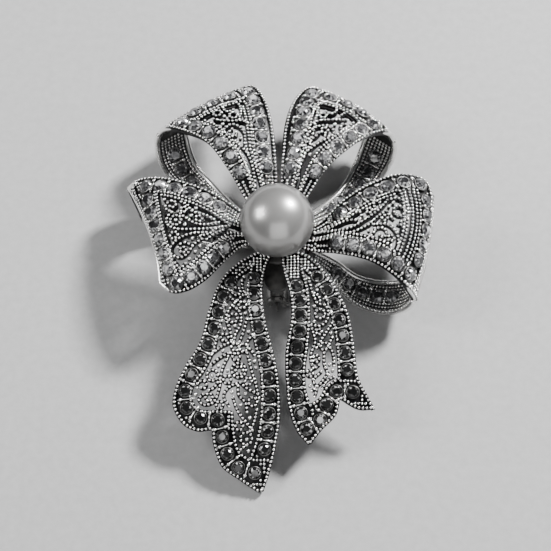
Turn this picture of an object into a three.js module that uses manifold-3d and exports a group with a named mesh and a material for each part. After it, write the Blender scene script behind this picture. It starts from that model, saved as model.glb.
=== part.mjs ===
// A bow brooch: four pierced ribbon loops and two notched ribbon tails around a pearl, with a pin back.
//
// Millimetres. The origin is on the pearl's axis, in the rear face of the pin bar. +Z points out of the
// front of the brooch and +Y towards the top of the bow. The brooch lies on its back.

import * as THREE from 'three';
import { mergeVertices } from 'three/addons/utils/BufferGeometryUtils.js';
import Module from 'manifold-3d';

const wasm = await Module();
wasm.setup();

// ---------------------------------------------------------------- driving dimensions

const SHEET = 0.9; // thickness of the cast leaves
const LOOP_COLUMNS = 7; // cells across a loop's fan
const STRIP_COLUMNS = 2; // of those, the cells that carry on into the return strip
const STEPS_PER_STATION = 3;

const TAIL_COLUMNS = 5;
const TAIL_CREST_Y = -8; // where a tail stands highest
const TAIL_CREST_Z = 4.2;
const TAIL_DROP = 0.0117; // how fast a tail falls away from its crest, per mm
const TAIL_SAG = 0.008; // how fast it falls away from its ridge line, per mm

const STONE_PITCH = 2.35;
const STONE_GIRDLE_R = 0.95;
const STONE_TABLE_R = 0.55;
const STONE_HEIGHT = 0.6;
const STONE_SIDES = 8; // two for each corner of a stone's cell
const BED_WIDTH = 2; // the ribbon of metal that the stones sit in
const BED_THICK = 0.35;
const BED_GAP = 0.15; // between the bed and the leaf
const EDGE_INSET = 1.5; // from the leaf's edge to the middle of the stones
const SIDE_START = 1.5; // station where the stones along a fan's sides start
const CORNER_STATIONS = 0.25; // how far those stones run past the middle of the row over the fold
const FOLD_INSET = 2.75; // from the leaf's edge to the ends of the row over the fold

const PEARL_R = 5;
const PEARL_Z = 9.07; // centre of the pearl
const PEG_R = 0.45;
const PEG_HOLE_R = 0.5;
const PEG_TOP = 7.3;
const PEG_HOLE_TOP = 7.4;
const CUP_R = 1.7;
const CUP_GAP = 0.05; // between the cup and the pearl

const PLATE_R = 3.2;
const PLATE_TOP = 3.1;
const PLATE_THICK = 0.6;
const BOSS_R = 1.6;

const BAR_THICK = 1.0;
const BAR_HALF_WIDTH = 1.8;
const BAR_TOP_Y = 12.6;
const BAR_BOTTOM_Y = -6.4;
const SEAT_DEPTH = 0.3; // step that the hinge and the catch are seated in
const SEAT_TOP_Y = 9.5; // the rear face is flat between these two
const SEAT_BOTTOM_Y = -3.4;

const PIN_Z = -2.75; // axis of the pin, behind the bar
const PIN_R = 0.5;
const PIN_TIP_Y = -7.6;
const PIN_TIP_LENGTH = 2.6;
const HINGE_Y = 11.2;
const EYE_R = 1.1;
const EYE_HALF = 0.6;
const EYE_HOLE_R = 0.46;
const EAR_GAP = 0.72; // from the middle to the inside of an ear
const EAR_THICK = 0.6;
const EAR_HOLE_R = 0.44;
const RIVET_R = 0.4;
const RIVET_HEAD_R = 0.7;
const RIVET_HEAD = 0.35;

const CATCH_Y = -5; // middle of the catch
const CATCH_LENGTH = 2.2;
const CATCH_IN_R = 1.12;
const CATCH_OUT_R = 1.5;
const LOCK_IN_R = 0.68;
const LOCK_OUT_R = 1.02;
const LOCK_LIP_R = 1.4;
const LOCK_LIP = 0.4;
const LOCK_GAP = 0.1;
const TAB_REACH = 2.3;
const MOUTH = THREE.MathUtils.degToRad(104); // opening of the catch, seen along the pin

// ---------------------------------------------------------------- materials

function metal(colour, roughness) {
  return new THREE.MeshStandardMaterial({ color: colour, roughness, metalness: 1 });
}

const silver = metal(0xa9a9a6, 0.38);
const steel = metal(0xb9babc, 0.28);
const greyStone = new THREE.MeshStandardMaterial({ color: 0x9a9a9c, roughness: 0.08, metalness: 0 });
const blackStone = new THREE.MeshStandardMaterial({ color: 0x17171a, roughness: 0.08, metalness: 0 });
const nacre = new THREE.MeshStandardMaterial({ color: 0xd9d6cf, roughness: 0.2, metalness: 0 });

// ---------------------------------------------------------------- solids

function toSolid(geometry) {
  const bare = geometry.clone();
  bare.deleteAttribute('normal');
  bare.deleteAttribute('uv');
  const merged = mergeVertices(bare, 1e-4);
  return new wasm.Manifold(new wasm.Mesh({
    numProp: 3,
    vertProperties: new Float32Array(merged.attributes.position.array),
    triVerts: new Uint32Array(merged.index.array),
  }));
}

function toGeometry(solid) {
  const mesh = solid.getMesh();
  const geometry = new THREE.BufferGeometry();
  geometry.setAttribute('position', new THREE.BufferAttribute(mesh.vertProperties, 3));
  geometry.setIndex(new THREE.BufferAttribute(mesh.triVerts, 1));
  return geometry;
}

function join(...geometries) {
  return toGeometry(geometries.map(toSolid).reduce((all, next) => all.add(next)));
}

function cut(geometry, ...tools) {
  return toGeometry(tools.map(toSolid).reduce((left, tool) => left.subtract(tool), toSolid(geometry)));
}

// A block between two corners.
function block(low, high) {
  const size = high.map((value, i) => value - low[i]);
  return new THREE.BoxGeometry(...size).translate(...low.map((value, i) => value + size[i] / 2));
}

// A turned solid about Z. The profile is radius and height, and starts and ends on the axis.
function turned(profile, sides) {
  const geometry = new THREE.LatheGeometry(profile.map(([r, z]) => new THREE.Vector2(r, z)), sides);
  return geometry.rotateX(Math.PI / 2);
}

// A shape drawn in Y and Z, extruded along X between two places.
function alongX(shape, from, to) {
  const geometry = new THREE.ExtrudeGeometry(shape, { depth: to - from, bevelEnabled: false, curveSegments: 10 });
  const basis = new THREE.Matrix4().makeBasis(
    new THREE.Vector3(0, 1, 0), new THREE.Vector3(0, 0, 1), new THREE.Vector3(1, 0, 0));
  return geometry.applyMatrix4(basis).translate(from, 0, 0);
}

// A shape drawn in X and Z, extruded along Y between two places.
function alongY(shape, from, to) {
  const geometry = new THREE.ExtrudeGeometry(shape, { depth: to - from, bevelEnabled: false, curveSegments: 10 });
  return geometry.rotateX(Math.PI / 2).translate(0, to, 0);
}

// A sheet of even thickness from quads that share their corner points, counter-clockwise from its front.
function thickSheet(quads, thickness) {
  const corners = [...new Set(quads.flat())];
  const number = new Map(corners.map((corner, i) => [corner, i]));
  const normals = corners.map(() => new THREE.Vector3());
  const edges = new Map();
  for (const quad of quads) {
    const across = quad[2].clone().sub(quad[0]);
    const normal = across.cross(quad[3].clone().sub(quad[1])).normalize();
    quad.forEach((corner, i) => {
      const next = quad[(i + 1) % 4];
      normals[number.get(corner)].add(normal);
      edges.set(`${number.get(corner)} ${number.get(next)}`, [number.get(corner), number.get(next)]);
    });
  }
  const positions = [];
  corners.forEach((corner, i) => {
    const half = normals[i].normalize().multiplyScalar(thickness / 2);
    positions.push(...corner.clone().add(half), ...corner.clone().sub(half));
  });
  const index = [];
  for (const quad of quads) {
    const [a, b, c, d] = quad.map((corner) => 2 * number.get(corner));
    index.push(a, b, c, a, c, d, c + 1, b + 1, a + 1, d + 1, c + 1, a + 1);
  }
  for (const [from, to] of edges.values()) {
    if (!edges.has(`${to} ${from}`)) {
      const [a, b] = [2 * from, 2 * to];
      index.push(a, a + 1, b + 1, a, b + 1, b);
    }
  }
  const geometry = new THREE.BufferGeometry();
  geometry.setAttribute('position', new THREE.Float32BufferAttribute(positions, 3));
  geometry.setIndex(index);
  return geometry;
}

// The quads between rows of points.
function gridQuads(rows) {
  const quads = [];
  for (let j = 0; j + 1 < rows.length; j += 1) {
    for (let i = 0; i + 1 < rows[j].length; i += 1) {
      quads.push([rows[j][i], rows[j][i + 1], rows[j + 1][i + 1], rows[j + 1][i]]);
    }
  }
  return quads;
}

// ---------------------------------------------------------------- curves and surfaces

// A smooth curve through stations, read by station number. It turns sharply at the numbered corners.
function rail(stations, corners = []) {
  const points = stations.map(([x, y, z = 0]) => new THREE.Vector3(x, y, z));
  const cuts = [0, ...corners, points.length - 1];
  const pieces = cuts.slice(1).map((end, k) => new THREE.CatmullRomCurve3(points.slice(cuts[k], end + 1)));
  return (station) => {
    let k = 0;
    while (k + 1 < pieces.length && station > cuts[k + 1]) {
      k += 1;
    }
    return pieces[k].getPoint((station - cuts[k]) / (cuts[k + 1] - cuts[k]));
  };
}

// The point at u, from 0 to 1, on the parabola through one point of each of three rails.
function across(first, middle, second, u) {
  return first.clone().multiplyScalar((1 - u) * (1 - 2 * u))
    .addScaledVector(middle, 4 * u * (1 - u))
    .addScaledVector(second, u * (2 * u - 1));
}

// The front normal of a surface(u, station).
function normalAt(surface, u, station) {
  const d = 0.02;
  const acrossIt = surface(u + d, station).sub(surface(u - d, station));
  const alongIt = surface(u, station + d).sub(surface(u, station - d));
  return acrossIt.cross(alongIt).normalize();
}

// ---------------------------------------------------------------- loops

// Each loop is a fan between three rails that run from the hub, over the crest, to the fold. Seen from
// the front the rails are in clockwise order. The strip goes on from one end of the fold, back to the hub.
// foldRow is the station of the stones over the fold.
const LOOPS = {
  upper_left: {
    first: [[-2, 1.7, 3.9], [-4.1, 5.3, 5], [-6.7, 9.4, 6.6], [-9.7, 13.4, 7], [-13.1, 15.8, 5.8],
      [-15.6, 17.4, 3.8], [-16.6, 17.8, 1.6]],
    middle: [[-1, 2, 3.9], [-2.3, 6.1, 5.6], [-4, 10.7, 7.2], [-6.1, 15.8, 7.6], [-8.4, 19.4, 6],
      [-9.9, 21.5, 3.5], [-10.3, 22.4, 1.2]],
    second: [[-0.2, 2, 3.9], [-0.1, 6.2, 5], [-0.1, 11.1, 6.2], [-0.6, 16.5, 6.6], [-1.8, 21.6, 5.6],
      [-3.4, 24.5, 3.8], [-4.4, 25.4, 1.8]],
    stripSide: 0,
    foldRow: 4.4,
    stripOuter: [[-16.9, 17, -0.8], [-16.1, 15.2, -3.1], [-13.6, 12.3, -3.9], [-8.6, 7, -2], [-3.7, 2.2, 1.8]],
    stripInner: [[-12.8, 19.4, -1], [-11.5, 16, -3.2], [-9.1, 13, -3.8], [-5.6, 7.9, -1.8], [-2.7, 3.8, 1.8]],
  },
  upper_right: {
    first: [[0.4, 2, 3.9], [0.7, 6.2, 5], [0.7, 11.1, 6.2], [1.1, 16.5, 6.6], [2.4, 21.1, 5.6],
      [4.4, 24.2, 3.8], [5.8, 25.2, 1.8]],
    middle: [[1.1, 2, 3.9], [2.4, 6, 5.6], [4.3, 10.6, 7.2], [7.2, 15.4, 7.6], [9.2, 19.3, 6],
      [10.7, 21.3, 3.5], [11.2, 22, 1.2]],
    second: [[2, 1.7, 3.9], [4, 6, 5], [6.8, 9.7, 6.4], [9.9, 12.8, 6.5], [13, 15.2, 5.8],
      [15.6, 16.7, 3.8], [16.4, 16.8, 1.6]],
    stripSide: 1,
    foldRow: 4.4,
    stripOuter: [[16.5, 16.3, -0.8], [15.5, 15, -3.1], [13.4, 12.1, -3.9], [8.5, 6.7, -2], [3.7, 2.2, 1.8]],
    stripInner: [[12.4, 18.8, -1], [11, 15.8, -3.2], [9.2, 12.4, -3.8], [5.8, 7.8, -1.8], [2.7, 3.8, 1.8]],
  },
  right: {
    first: [[2, 0.5, 3.9], [5.7, 1.5, 5], [9.3, 4.9, 6.1], [13.4, 7.4, 6.6], [17.1, 8.8, 6.2],
      [20.2, 8.6, 4.8], [21.5, 7.3, 2.8]],
    middle: [[2.1, -0.1, 3.9], [5.6, -0.5, 5.4], [9.9, 0.2, 7.2], [14.6, 0.8, 7.8], [18.3, 0.7, 6.8],
      [20.3, 0.8, 4.4], [20.9, 1, 1.6]],
    second: [[2, -0.8, 3.9], [4.8, -2.3, 4.6], [8.5, -3.4, 5.8], [12.5, -4.8, 6.4], [15.6, -6.5, 5.6],
      [17.6, -7.7, 3.6], [18.5, -8.2, 1]],
    stripSide: 1,
    foldRow: 4.75,
    stripOuter: [[17.1, -8.1, -1.8], [14.4, -7.5, -3.6], [10.8, -6, -3.9], [7.3, -3.1, -2], [3.9, -1.7, 1.8]],
    stripInner: [[18.2, -3.4, -1.6], [14.2, -2.8, -3.5], [10.9, -1.8, -3.6], [8, -0.6, -1.6], [4.1, -0.2, 1.8]],
  },
  left: {
    first: [[-2, -0.8, 3.9], [-4.6, -1.5, 4.6], [-7.2, -4.4, 5.2], [-9.7, -7.3, 5.4], [-12, -8.7, 5.2],
      [-14.1, -8.7, 4.6], [-15.8, -7.1, 4.2]],
    middle: [[-2.1, -0.1, 3.9], [-5.3, 0.4, 5.4], [-8.8, 0.1, 6.8], [-12.3, -0.5, 7.2], [-14.7, -0.7, 6.6],
      [-16.2, -0.4, 5.4], [-17.1, 0, 4.4]],
    second: [[-2, 0.5, 3.9], [-5.1, 3.8, 4.6], [-8.5, 5.9, 5.6], [-12.2, 7.4, 6], [-16.1, 8.9, 5],
      [-19.2, 9.6, 3.2], [-20.5, 9.5, 1.2]],
    stripSide: 1,
    foldRow: 4.75,
    stripOuter: [[-19, 9.3, -1], [-16.4, 9, -3], [-12.2, 7.8, -3.6], [-7.2, 5, -2], [-3.9, 1.5, 1.8]],
    stripInner: [[-17.9, 4.8, -0.4], [-15.6, 4.7, -3], [-11.8, 3.9, -3.6], [-7.1, 2, -1.8], [-4, 0.1, 1.8]],
  },
};
const FOLD = 6; // station number of the fold, at the end of the fan
const SPLIT = STRIP_COLUMNS / LOOP_COLUMNS;

// The fan's surface(u, station), and the strip's, whose stations carry on from FOLD.
function loopSurfaces(loop) {
  const edges = [loop.first, loop.second].map((edge, side) => (
    rail(side === loop.stripSide ? [...edge, ...loop.stripOuter] : edge)));
  const middle = rail(loop.middle);
  const fan = (u, station) => across(edges[0](station), middle(station), edges[1](station), u);
  const innerU = loop.stripSide === 0 ? SPLIT : 1 - SPLIT;
  const overTheFold = [FOLD - 2, FOLD - 1, FOLD].map((station) => fan(innerU, station).toArray());
  const inner = rail([...overTheFold, ...loop.stripInner]);
  const sides = [edges[loop.stripSide], (station) => inner(station - FOLD + 2)];
  const [low, high] = loop.stripSide === 0 ? sides : sides.reverse();
  const strip = (u, station) => low(station).lerp(high(station), u);
  return { fan, strip, end: FOLD + loop.stripOuter.length };
}

function loopGeometry(loop) {
  const { fan, strip, end } = loopSurfaces(loop);
  const fanRows = [];
  for (let j = 0; j <= FOLD * STEPS_PER_STATION; j += 1) {
    const station = j / STEPS_PER_STATION;
    fanRows.push(Array.from({ length: LOOP_COLUMNS + 1 }, (_, i) => fan(i / LOOP_COLUMNS, station)));
  }
  const start = loop.stripSide === 0 ? 0 : LOOP_COLUMNS - STRIP_COLUMNS;
  const stripRows = [fanRows.at(-1).slice(start, start + STRIP_COLUMNS + 1)];
  for (let j = 1; j <= (end - FOLD) * STEPS_PER_STATION; j += 1) {
    const station = FOLD + j / STEPS_PER_STATION;
    stripRows.push(Array.from({ length: STRIP_COLUMNS + 1 }, (_, i) => strip(i / STRIP_COLUMNS, station)));
  }
  return thickSheet([...gridQuads(fanRows), ...gridQuads(stripRows)], SHEET);
}

// ---------------------------------------------------------------- tails

// Each tail is drawn flat between two edges, station by station, and lies on a domed surface.
const TAILS = {
  left: {
    ridgeX: -5.5,
    right: [[-0.5, -2.1], [-1.5, -4.8], [-1.9, -8.4], [-1.6, -12], [-0.8, -15.5], [-0.1, -18.5], [0.3, -21],
      [0.4, -22.5], [0.4, -23.8], [0.4, -25], [0.3, -26.5], [0, -28], [-0.4, -30], [-1, -32], [-1.8, -34.1]],
    left: [[-1.9, -1.7], [-5, -3.6], [-7.6, -6.6], [-9.3, -11.4], [-10.3, -15.4], [-12.3, -18.7],
      [-13.6, -21.5], [-13.9, -23.7], [-12.5, -26.1], [-10.6, -27], [-8.7, -26.9], [-8.5, -28.5],
      [-7.4, -31.2], [-4.9, -32.9], [-2.6, -34.2]],
    rightCorners: [],
    leftCorners: [10],
    outerStones: [[-5.7, -6], [-7.5, -10.2], [-8.5, -14.4], [-10.6, -18.6], [-12.2, -21.7], [-11.9, -24.2],
      [-10.3, -25.3], [-7.9, -25.6], [-7.2, -28], [-6.3, -30.2], [-4.5, -31.7], [-1.8, -32]],
    innerStones: [[-3.1, -5.2], [-3.1, -9.6], [-2.6, -13.4], [-1.7, -17.4], [-1.1, -21.2], [-1.1, -25],
      [-1.4, -27.6], [-1.9, -30.2]],
  },
  right: {
    ridgeX: 5.5,
    right: [[1.9, -1.7], [4.5, -2.9], [6.6, -5.5], [8.5, -8.7], [9.8, -12.3], [10.4, -16.5], [10.9, -20.2],
      [12.1, -22.5], [13.1, -24.2], [10.8, -24.3], [8.4, -23.1], [7.9, -25], [5.9, -27], [4.5, -28.6]],
    left: [[0.5, -2.1], [0.8, -5], [1.5, -7.8], [1.9, -10.2], [1.8, -12.8], [1.4, -15], [1.2, -16.3],
      [1.1, -17.2], [1.1, -18.1], [1.1, -19.2], [1.2, -21], [1.5, -24], [2.6, -27], [4.1, -28.7]],
    rightCorners: [8, 10],
    leftCorners: [],
    outerStones: [[4.8, -5.2], [7.1, -8.8], [8.4, -13], [9, -16.6], [9.5, -20.4]],
    innerStones: [[2.4, -6.4], [3.1, -9.6], [3.1, -13.6], [2.6, -17.4], [2.5, -21.4], [3.2, -24.8],
      [4.1, -26.8], [5.8, -25.6], [6.6, -23.8], [7.9, -22.1], [11.2, -22.3]],
  },
};

function onTail(tail, x, y) {
  const z = TAIL_CREST_Z - TAIL_DROP * (y - TAIL_CREST_Y) ** 2 - TAIL_SAG * (x - tail.ridgeX) ** 2;
  return new THREE.Vector3(x, y, z);
}

function tailGeometry(tail) {
  const right = rail(tail.right, tail.rightCorners);
  const left = rail(tail.left, tail.leftCorners);
  const rows = [];
  for (let j = 0; j <= 2 * (tail.right.length - 1); j += 1) {
    const row = [];
    for (let i = 0; i <= TAIL_COLUMNS; i += 1) {
      const flat = right(j / 2).lerp(left(j / 2), i / TAIL_COLUMNS);
      row.push(onTail(tail, flat.x, flat.y));
    }
    rows.push(row);
  }
  return thickSheet(gridQuads(rows), SHEET);
}

// ---------------------------------------------------------------- rows of stones

// A closed mesh that is put together corner by corner.
class Mesher {
  positions = [];

  index = [];

  corner(point) {
    this.positions.push(...point);
    return this.positions.length / 3 - 1;
  }

  // A flat face, counter-clockwise from outside.
  face(...corners) {
    for (let i = 1; i + 1 < corners.length; i += 1) {
      this.index.push(corners[0], corners[i], corners[i + 1]);
    }
  }

  geometry() {
    const geometry = new THREE.BufferGeometry();
    geometry.setAttribute('position', new THREE.Float32BufferAttribute(this.positions, 3));
    geometry.setIndex(this.index);
    return geometry;
  }
}

// Places at even distances along place(t), near one stone's pitch apart, each with its frame.
function spacedFrames(place, face) {
  const fine = Array.from({ length: 81 }, (_, i) => place(i / 80));
  const reach = [0];
  for (let i = 1; i < fine.length; i += 1) {
    reach.push(reach[i - 1] + fine[i].point.distanceTo(fine[i - 1].point));
  }
  const at = (distance) => {
    const i = Math.max(1, reach.findIndex((value) => value >= distance - 1e-6));
    return place((i - 1 + (distance - reach[i - 1]) / (reach[i] - reach[i - 1])) / 80);
  };
  const length = reach.at(-1);
  const count = Math.max(1, Math.round(length / STONE_PITCH));
  return Array.from({ length: count + 1 }, (_, k) => {
    const distance = (length * k) / count;
    const { point, normal } = at(distance);
    const up = normal.clone().multiplyScalar(face);
    const ahead = at(Math.min(distance + 0.1, length)).point.sub(at(Math.max(distance - 0.1, 0)).point);
    const sideways = up.clone().cross(ahead).normalize();
    return { point, up, sideways };
  });
}

// Faceted stones on a ribbon of metal. place(t) gives a point on a leaf and the leaf's front normal
// there, and face is 1 on the front of the leaf and -1 on its back.
function stoneRow(place, face) {
  const mesher = new Mesher();
  const frames = spacedFrames(place, face);
  const spot = ({ point, up, sideways }, side, height) => point.clone()
    .addScaledVector(up, SHEET / 2 + BED_GAP + height)
    .addScaledVector(sideways, (side * BED_WIDTH) / 2);
  const sections = frames.map((frame) => {
    const [topRight, topLeft] = [-1, 1].map((side) => spot(frame, side, BED_THICK));
    const [lowRight, lowLeft] = [-1, 1].map((side) => mesher.corner(spot(frame, side, 0)));
    return { topRight, topLeft, lowRight, lowLeft, right: mesher.corner(topRight), left: mesher.corner(topLeft) };
  });
  for (let k = 0; k + 1 < sections.length; k += 1) {
    const [here, next] = [sections[k], sections[k + 1]];
    mesher.face(here.lowRight, here.lowLeft, next.lowLeft, next.lowRight);
    mesher.face(here.right, here.lowRight, next.lowRight, next.right);
    mesher.face(next.left, next.lowLeft, here.lowLeft, here.left);
    const tops = [here.topRight, next.topRight, next.topLeft, here.topLeft];
    const centre = tops.reduce((sum, top) => sum.add(top), new THREE.Vector3()).divideScalar(4);
    const ahead = next.topRight.clone().add(next.topLeft).sub(here.topRight).sub(here.topLeft).normalize();
    const up = frames[k].up.clone().add(frames[k + 1].up).normalize();
    const sideways = up.clone().cross(ahead);
    const ring = (radius, height) => Array.from({ length: STONE_SIDES }, (_, j) => {
      const angle = Math.PI + (Math.PI * (2 * j + 1)) / STONE_SIDES;
      return mesher.corner(centre.clone().addScaledVector(up, height)
        .addScaledVector(ahead, radius * Math.cos(angle))
        .addScaledVector(sideways, radius * Math.sin(angle)));
    });
    const girdle = ring(STONE_GIRDLE_R, 0);
    const table = ring(STONE_TABLE_R, STONE_HEIGHT);
    const bed = [here.right, next.right, next.left, here.left];
    bed.forEach((corner, i) => {
      const after = (2 * i + 2) % STONE_SIDES;
      mesher.face(corner, girdle[2 * i + 1], girdle[2 * i]);
      mesher.face(corner, bed[(i + 1) % 4], girdle[after], girdle[2 * i + 1]);
    });
    girdle.forEach((corner, j) => {
      const after = (j + 1) % STONE_SIDES;
      mesher.face(corner, girdle[after], table[after], table[j]);
    });
    mesher.face(...table);
  }
  const [start, end] = [sections[0], sections.at(-1)];
  mesher.face(start.right, start.left, start.lowLeft, start.lowRight);
  mesher.face(end.left, end.right, end.lowRight, end.lowLeft);
  return mesher.geometry();
}

// Where a line lies that runs an inset in from a fan's first or second edge.
function insetU(surface, side, inset, station) {
  const share = inset / surface(0, station).distanceTo(surface(1, station));
  return side === 0 ? share : 1 - share;
}

// Places along one side of a fan, EDGE_INSET in from its edge.
function alongSide(surface, side, from, to) {
  return (t) => {
    const station = from + (to - from) * t;
    const u = insetU(surface, side, EDGE_INSET, station);
    return { point: surface(u, station), normal: normalAt(surface, u, station) };
  };
}

// Places across a surface at one station, or along the middle of a strip.
function straightOver(surface, from, to) {
  return (t) => {
    const [u, station] = from.map((value, i) => value + (to[i] - value) * t);
    return { point: surface(u, station), normal: normalAt(surface, u, station) };
  };
}

function overTail(tail, centreLine) {
  const line = rail(centreLine);
  const last = centreLine.length - 1;
  return (t) => {
    const { x, y } = line(t * last);
    const slopeX = 2 * TAIL_SAG * (x - tail.ridgeX);
    const slopeY = 2 * TAIL_DROP * (y - TAIL_CREST_Y);
    return { point: onTail(tail, x, y), normal: new THREE.Vector3(slopeX, slopeY, 1).normalize() };
  };
}

// ---------------------------------------------------------------- pearl and its mounting

function pearlGeometry() {
  const profile = [[0, PEG_HOLE_TOP], [PEG_HOLE_R, PEG_HOLE_TOP]];
  const rings = 12;
  const start = Math.asin(PEG_HOLE_R / PEARL_R);
  for (let i = 0; i <= rings; i += 1) {
    const angle = start + ((Math.PI - start) * i) / rings;
    const radius = i === rings ? 0 : PEARL_R * Math.sin(angle);
    profile.push([radius, PEARL_Z - PEARL_R * Math.cos(angle)]);
  }
  return turned(profile, 22);
}

// A low pedestal whose top is dished to the pearl, with a hole for the peg.
function cupGeometry() {
  const dish = (radius) => PEARL_Z - Math.sqrt((PEARL_R + CUP_GAP) ** 2 - radius ** 2);
  const radii = [CUP_R, 1.2, 0.8, PEG_HOLE_R];
  const profile = [[PEG_HOLE_R, PLATE_TOP], [CUP_R, PLATE_TOP], ...radii.map((radius) => [radius, dish(radius)])];
  return turned([...profile, profile[0]], 20);
}

function basePlateGeometry() {
  const underside = PLATE_TOP - PLATE_THICK;
  return turned([[0, BAR_THICK], [BOSS_R, BAR_THICK], [BOSS_R, underside], [PLATE_R, underside],
    [PLATE_R, PLATE_TOP], [0, PLATE_TOP]], 28);
}

// ---------------------------------------------------------------- pin back

// A flat bar with round ends. Its rear face is stepped back at each end, under the hinge and the catch.
function barGeometry() {
  const r = BAR_HALF_WIDTH;
  const outline = new THREE.Shape();
  outline.absarc(0, BAR_TOP_Y - r, r, 0, Math.PI);
  outline.absarc(0, BAR_BOTTOM_Y + r, r, Math.PI, 2 * Math.PI);
  const bar = new THREE.ExtrudeGeometry(outline, { depth: BAR_THICK, bevelEnabled: false, curveSegments: 14 });
  const over = r + 1;
  return cut(bar,
    block([-over, SEAT_TOP_Y, -1], [over, BAR_TOP_Y + 1, SEAT_DEPTH]),
    block([-over, BAR_BOTTOM_Y - 1, -1], [over, SEAT_BOTTOM_Y, SEAT_DEPTH]));
}

function disc(y, z, radius) {
  const shape = new THREE.Shape();
  shape.absarc(y, z, radius, 0, 2 * Math.PI);
  return shape;
}

function bracketGeometry() {
  const ear = new THREE.Shape();
  ear.moveTo(HINGE_Y + EYE_R, 0);
  ear.lineTo(HINGE_Y - EYE_R, 0);
  ear.absarc(HINGE_Y, PIN_Z, EYE_R, Math.PI, 2 * Math.PI);
  ear.holes.push(new THREE.Path().absarc(HINGE_Y, PIN_Z, EAR_HOLE_R, 0, 2 * Math.PI));
  const outside = EAR_GAP + EAR_THICK;
  const foot = block([-outside, HINGE_Y - EYE_R - 0.3, -0.4], [outside, HINGE_Y + EYE_R, SEAT_DEPTH]);
  return join(foot, alongX(ear, -outside, -EAR_GAP), alongX(ear, EAR_GAP, outside));
}

function rivetGeometry() {
  const outside = EAR_GAP + EAR_THICK;
  const shaft = alongX(disc(HINGE_Y, PIN_Z, RIVET_R), -outside - 0.1, outside + 0.1);
  const clear = outside + 0.03;
  const heads = [-1, 1].map((side) => {
    const [from, to] = [side * clear, side * (clear + RIVET_HEAD)].sort((a, b) => a - b);
    return alongX(disc(HINGE_Y, PIN_Z, RIVET_HEAD_R), from, to);
  });
  return join(shaft, ...heads);
}

function pinGeometry() {
  const eyeShape = disc(HINGE_Y, PIN_Z, EYE_R);
  eyeShape.holes.push(new THREE.Path().absarc(HINGE_Y, PIN_Z, EYE_HOLE_R, 0, 2 * Math.PI));
  const start = HINGE_Y - EYE_R + 0.4;
  const shaft = new THREE.LatheGeometry([
    new THREE.Vector2(0, PIN_TIP_Y), new THREE.Vector2(0.12, PIN_TIP_Y + 0.1),
    new THREE.Vector2(PIN_R * 0.8, PIN_TIP_Y + PIN_TIP_LENGTH),
    new THREE.Vector2(PIN_R, PIN_TIP_Y + 2 * PIN_TIP_LENGTH),
    new THREE.Vector2(PIN_R, start), new THREE.Vector2(0, start)], 14).translate(0, 0, PIN_Z);
  return join(alongX(eyeShape, -EYE_HALF, EYE_HALF), shaft);
}

// A ring section about the pin's axis in X and Z, with its mouth facing away from the bar.
function openRing(inner, outer) {
  const shape = new THREE.Shape();
  const [from, to] = [-Math.PI / 2 + MOUTH / 2, (3 * Math.PI) / 2 - MOUTH / 2];
  shape.absarc(0, PIN_Z, outer, from, to, false);
  shape.absarc(0, PIN_Z, inner, to, from, true);
  return shape;
}

function catchGeometry() {
  const [from, to] = [CATCH_Y - CATCH_LENGTH / 2, CATCH_Y + CATCH_LENGTH / 2];
  const ring = alongY(openRing(CATCH_IN_R, CATCH_OUT_R), from, to);
  const footBottom = PIN_Z + (CATCH_IN_R + CATCH_OUT_R) / 2;
  return join(ring, block([-0.7, from, footBottom], [0.7, to, SEAT_DEPTH]));
}

// A sleeve with a lip at each end. The lip away from the hinge carries the thumb tab.
function lockGeometry() {
  const [from, to] = [CATCH_Y - CATCH_LENGTH / 2 - LOCK_GAP, CATCH_Y + CATCH_LENGTH / 2 + LOCK_GAP];
  const sleeve = alongY(openRing(LOCK_IN_R, LOCK_OUT_R), from - LOCK_LIP, to + LOCK_LIP);
  const nearLip = alongY(openRing(LOCK_IN_R + 0.1, LOCK_LIP_R), to, to + LOCK_LIP);
  const farLip = alongY(openRing(LOCK_IN_R + 0.1, LOCK_LIP_R), from - LOCK_LIP, from);
  const tab = block([LOCK_OUT_R, from - LOCK_LIP, PIN_Z - 0.45], [TAB_REACH, from, PIN_Z + 0.45]);
  return join(sleeve, nearLip, farLip, tab);
}

// ---------------------------------------------------------------- the brooch

const brooch = new THREE.Group();

function add(name, geometry, material) {
  const mesh = new THREE.Mesh(geometry, material);
  mesh.name = name;
  brooch.add(mesh);
}

for (const [name, loop] of Object.entries(LOOPS)) {
  const { fan, strip, end } = loopSurfaces(loop);
  const foldEnds = [0, 1].map((side) => [insetU(fan, side, FOLD_INSET, loop.foldRow), loop.foldRow]);
  const stoneBeds = {
    first_side: stoneRow(alongSide(fan, 0, SIDE_START, loop.foldRow + CORNER_STATIONS), 1),
    second_side: stoneRow(alongSide(fan, 1, SIDE_START, loop.foldRow + CORNER_STATIONS), 1),
    fold: stoneRow(straightOver(fan, ...foldEnds), 1),
    strip: stoneRow(straightOver(strip, [0.5, FOLD + 1.2], [0.5, end - 0.9]), -1),
  };
  add(`loop_${name}`, loopGeometry(loop), silver);
  for (const [place, geometry] of Object.entries(stoneBeds)) {
    add(`stones_${name}_${place}`, geometry, greyStone);
  }
}
for (const [name, tail] of Object.entries(TAILS)) {
  add(`tail_${name}`, tailGeometry(tail), silver);
  add(`stones_tail_${name}_outer`, stoneRow(overTail(tail, tail.outerStones), 1), blackStone);
  add(`stones_tail_${name}_inner`, stoneRow(overTail(tail, tail.innerStones), 1), blackStone);
}
add('pearl', pearlGeometry(), nacre);
add('pearl_cup', cupGeometry(), silver);
add('pearl_peg', turned([[0, PLATE_TOP], [PEG_R, PLATE_TOP], [PEG_R, PEG_TOP], [0, PEG_TOP]], 12), steel);
add('base_plate', basePlateGeometry(), silver);
add('pin_bar', barGeometry(), silver);
add('hinge_bracket', bracketGeometry(), steel);
add('hinge_rivet', rivetGeometry(), steel);
add('pin_stem', pinGeometry(), steel);
add('catch_body', catchGeometry(), steel);
add('catch_lock', lockGeometry(), steel);

export default brooch;
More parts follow.
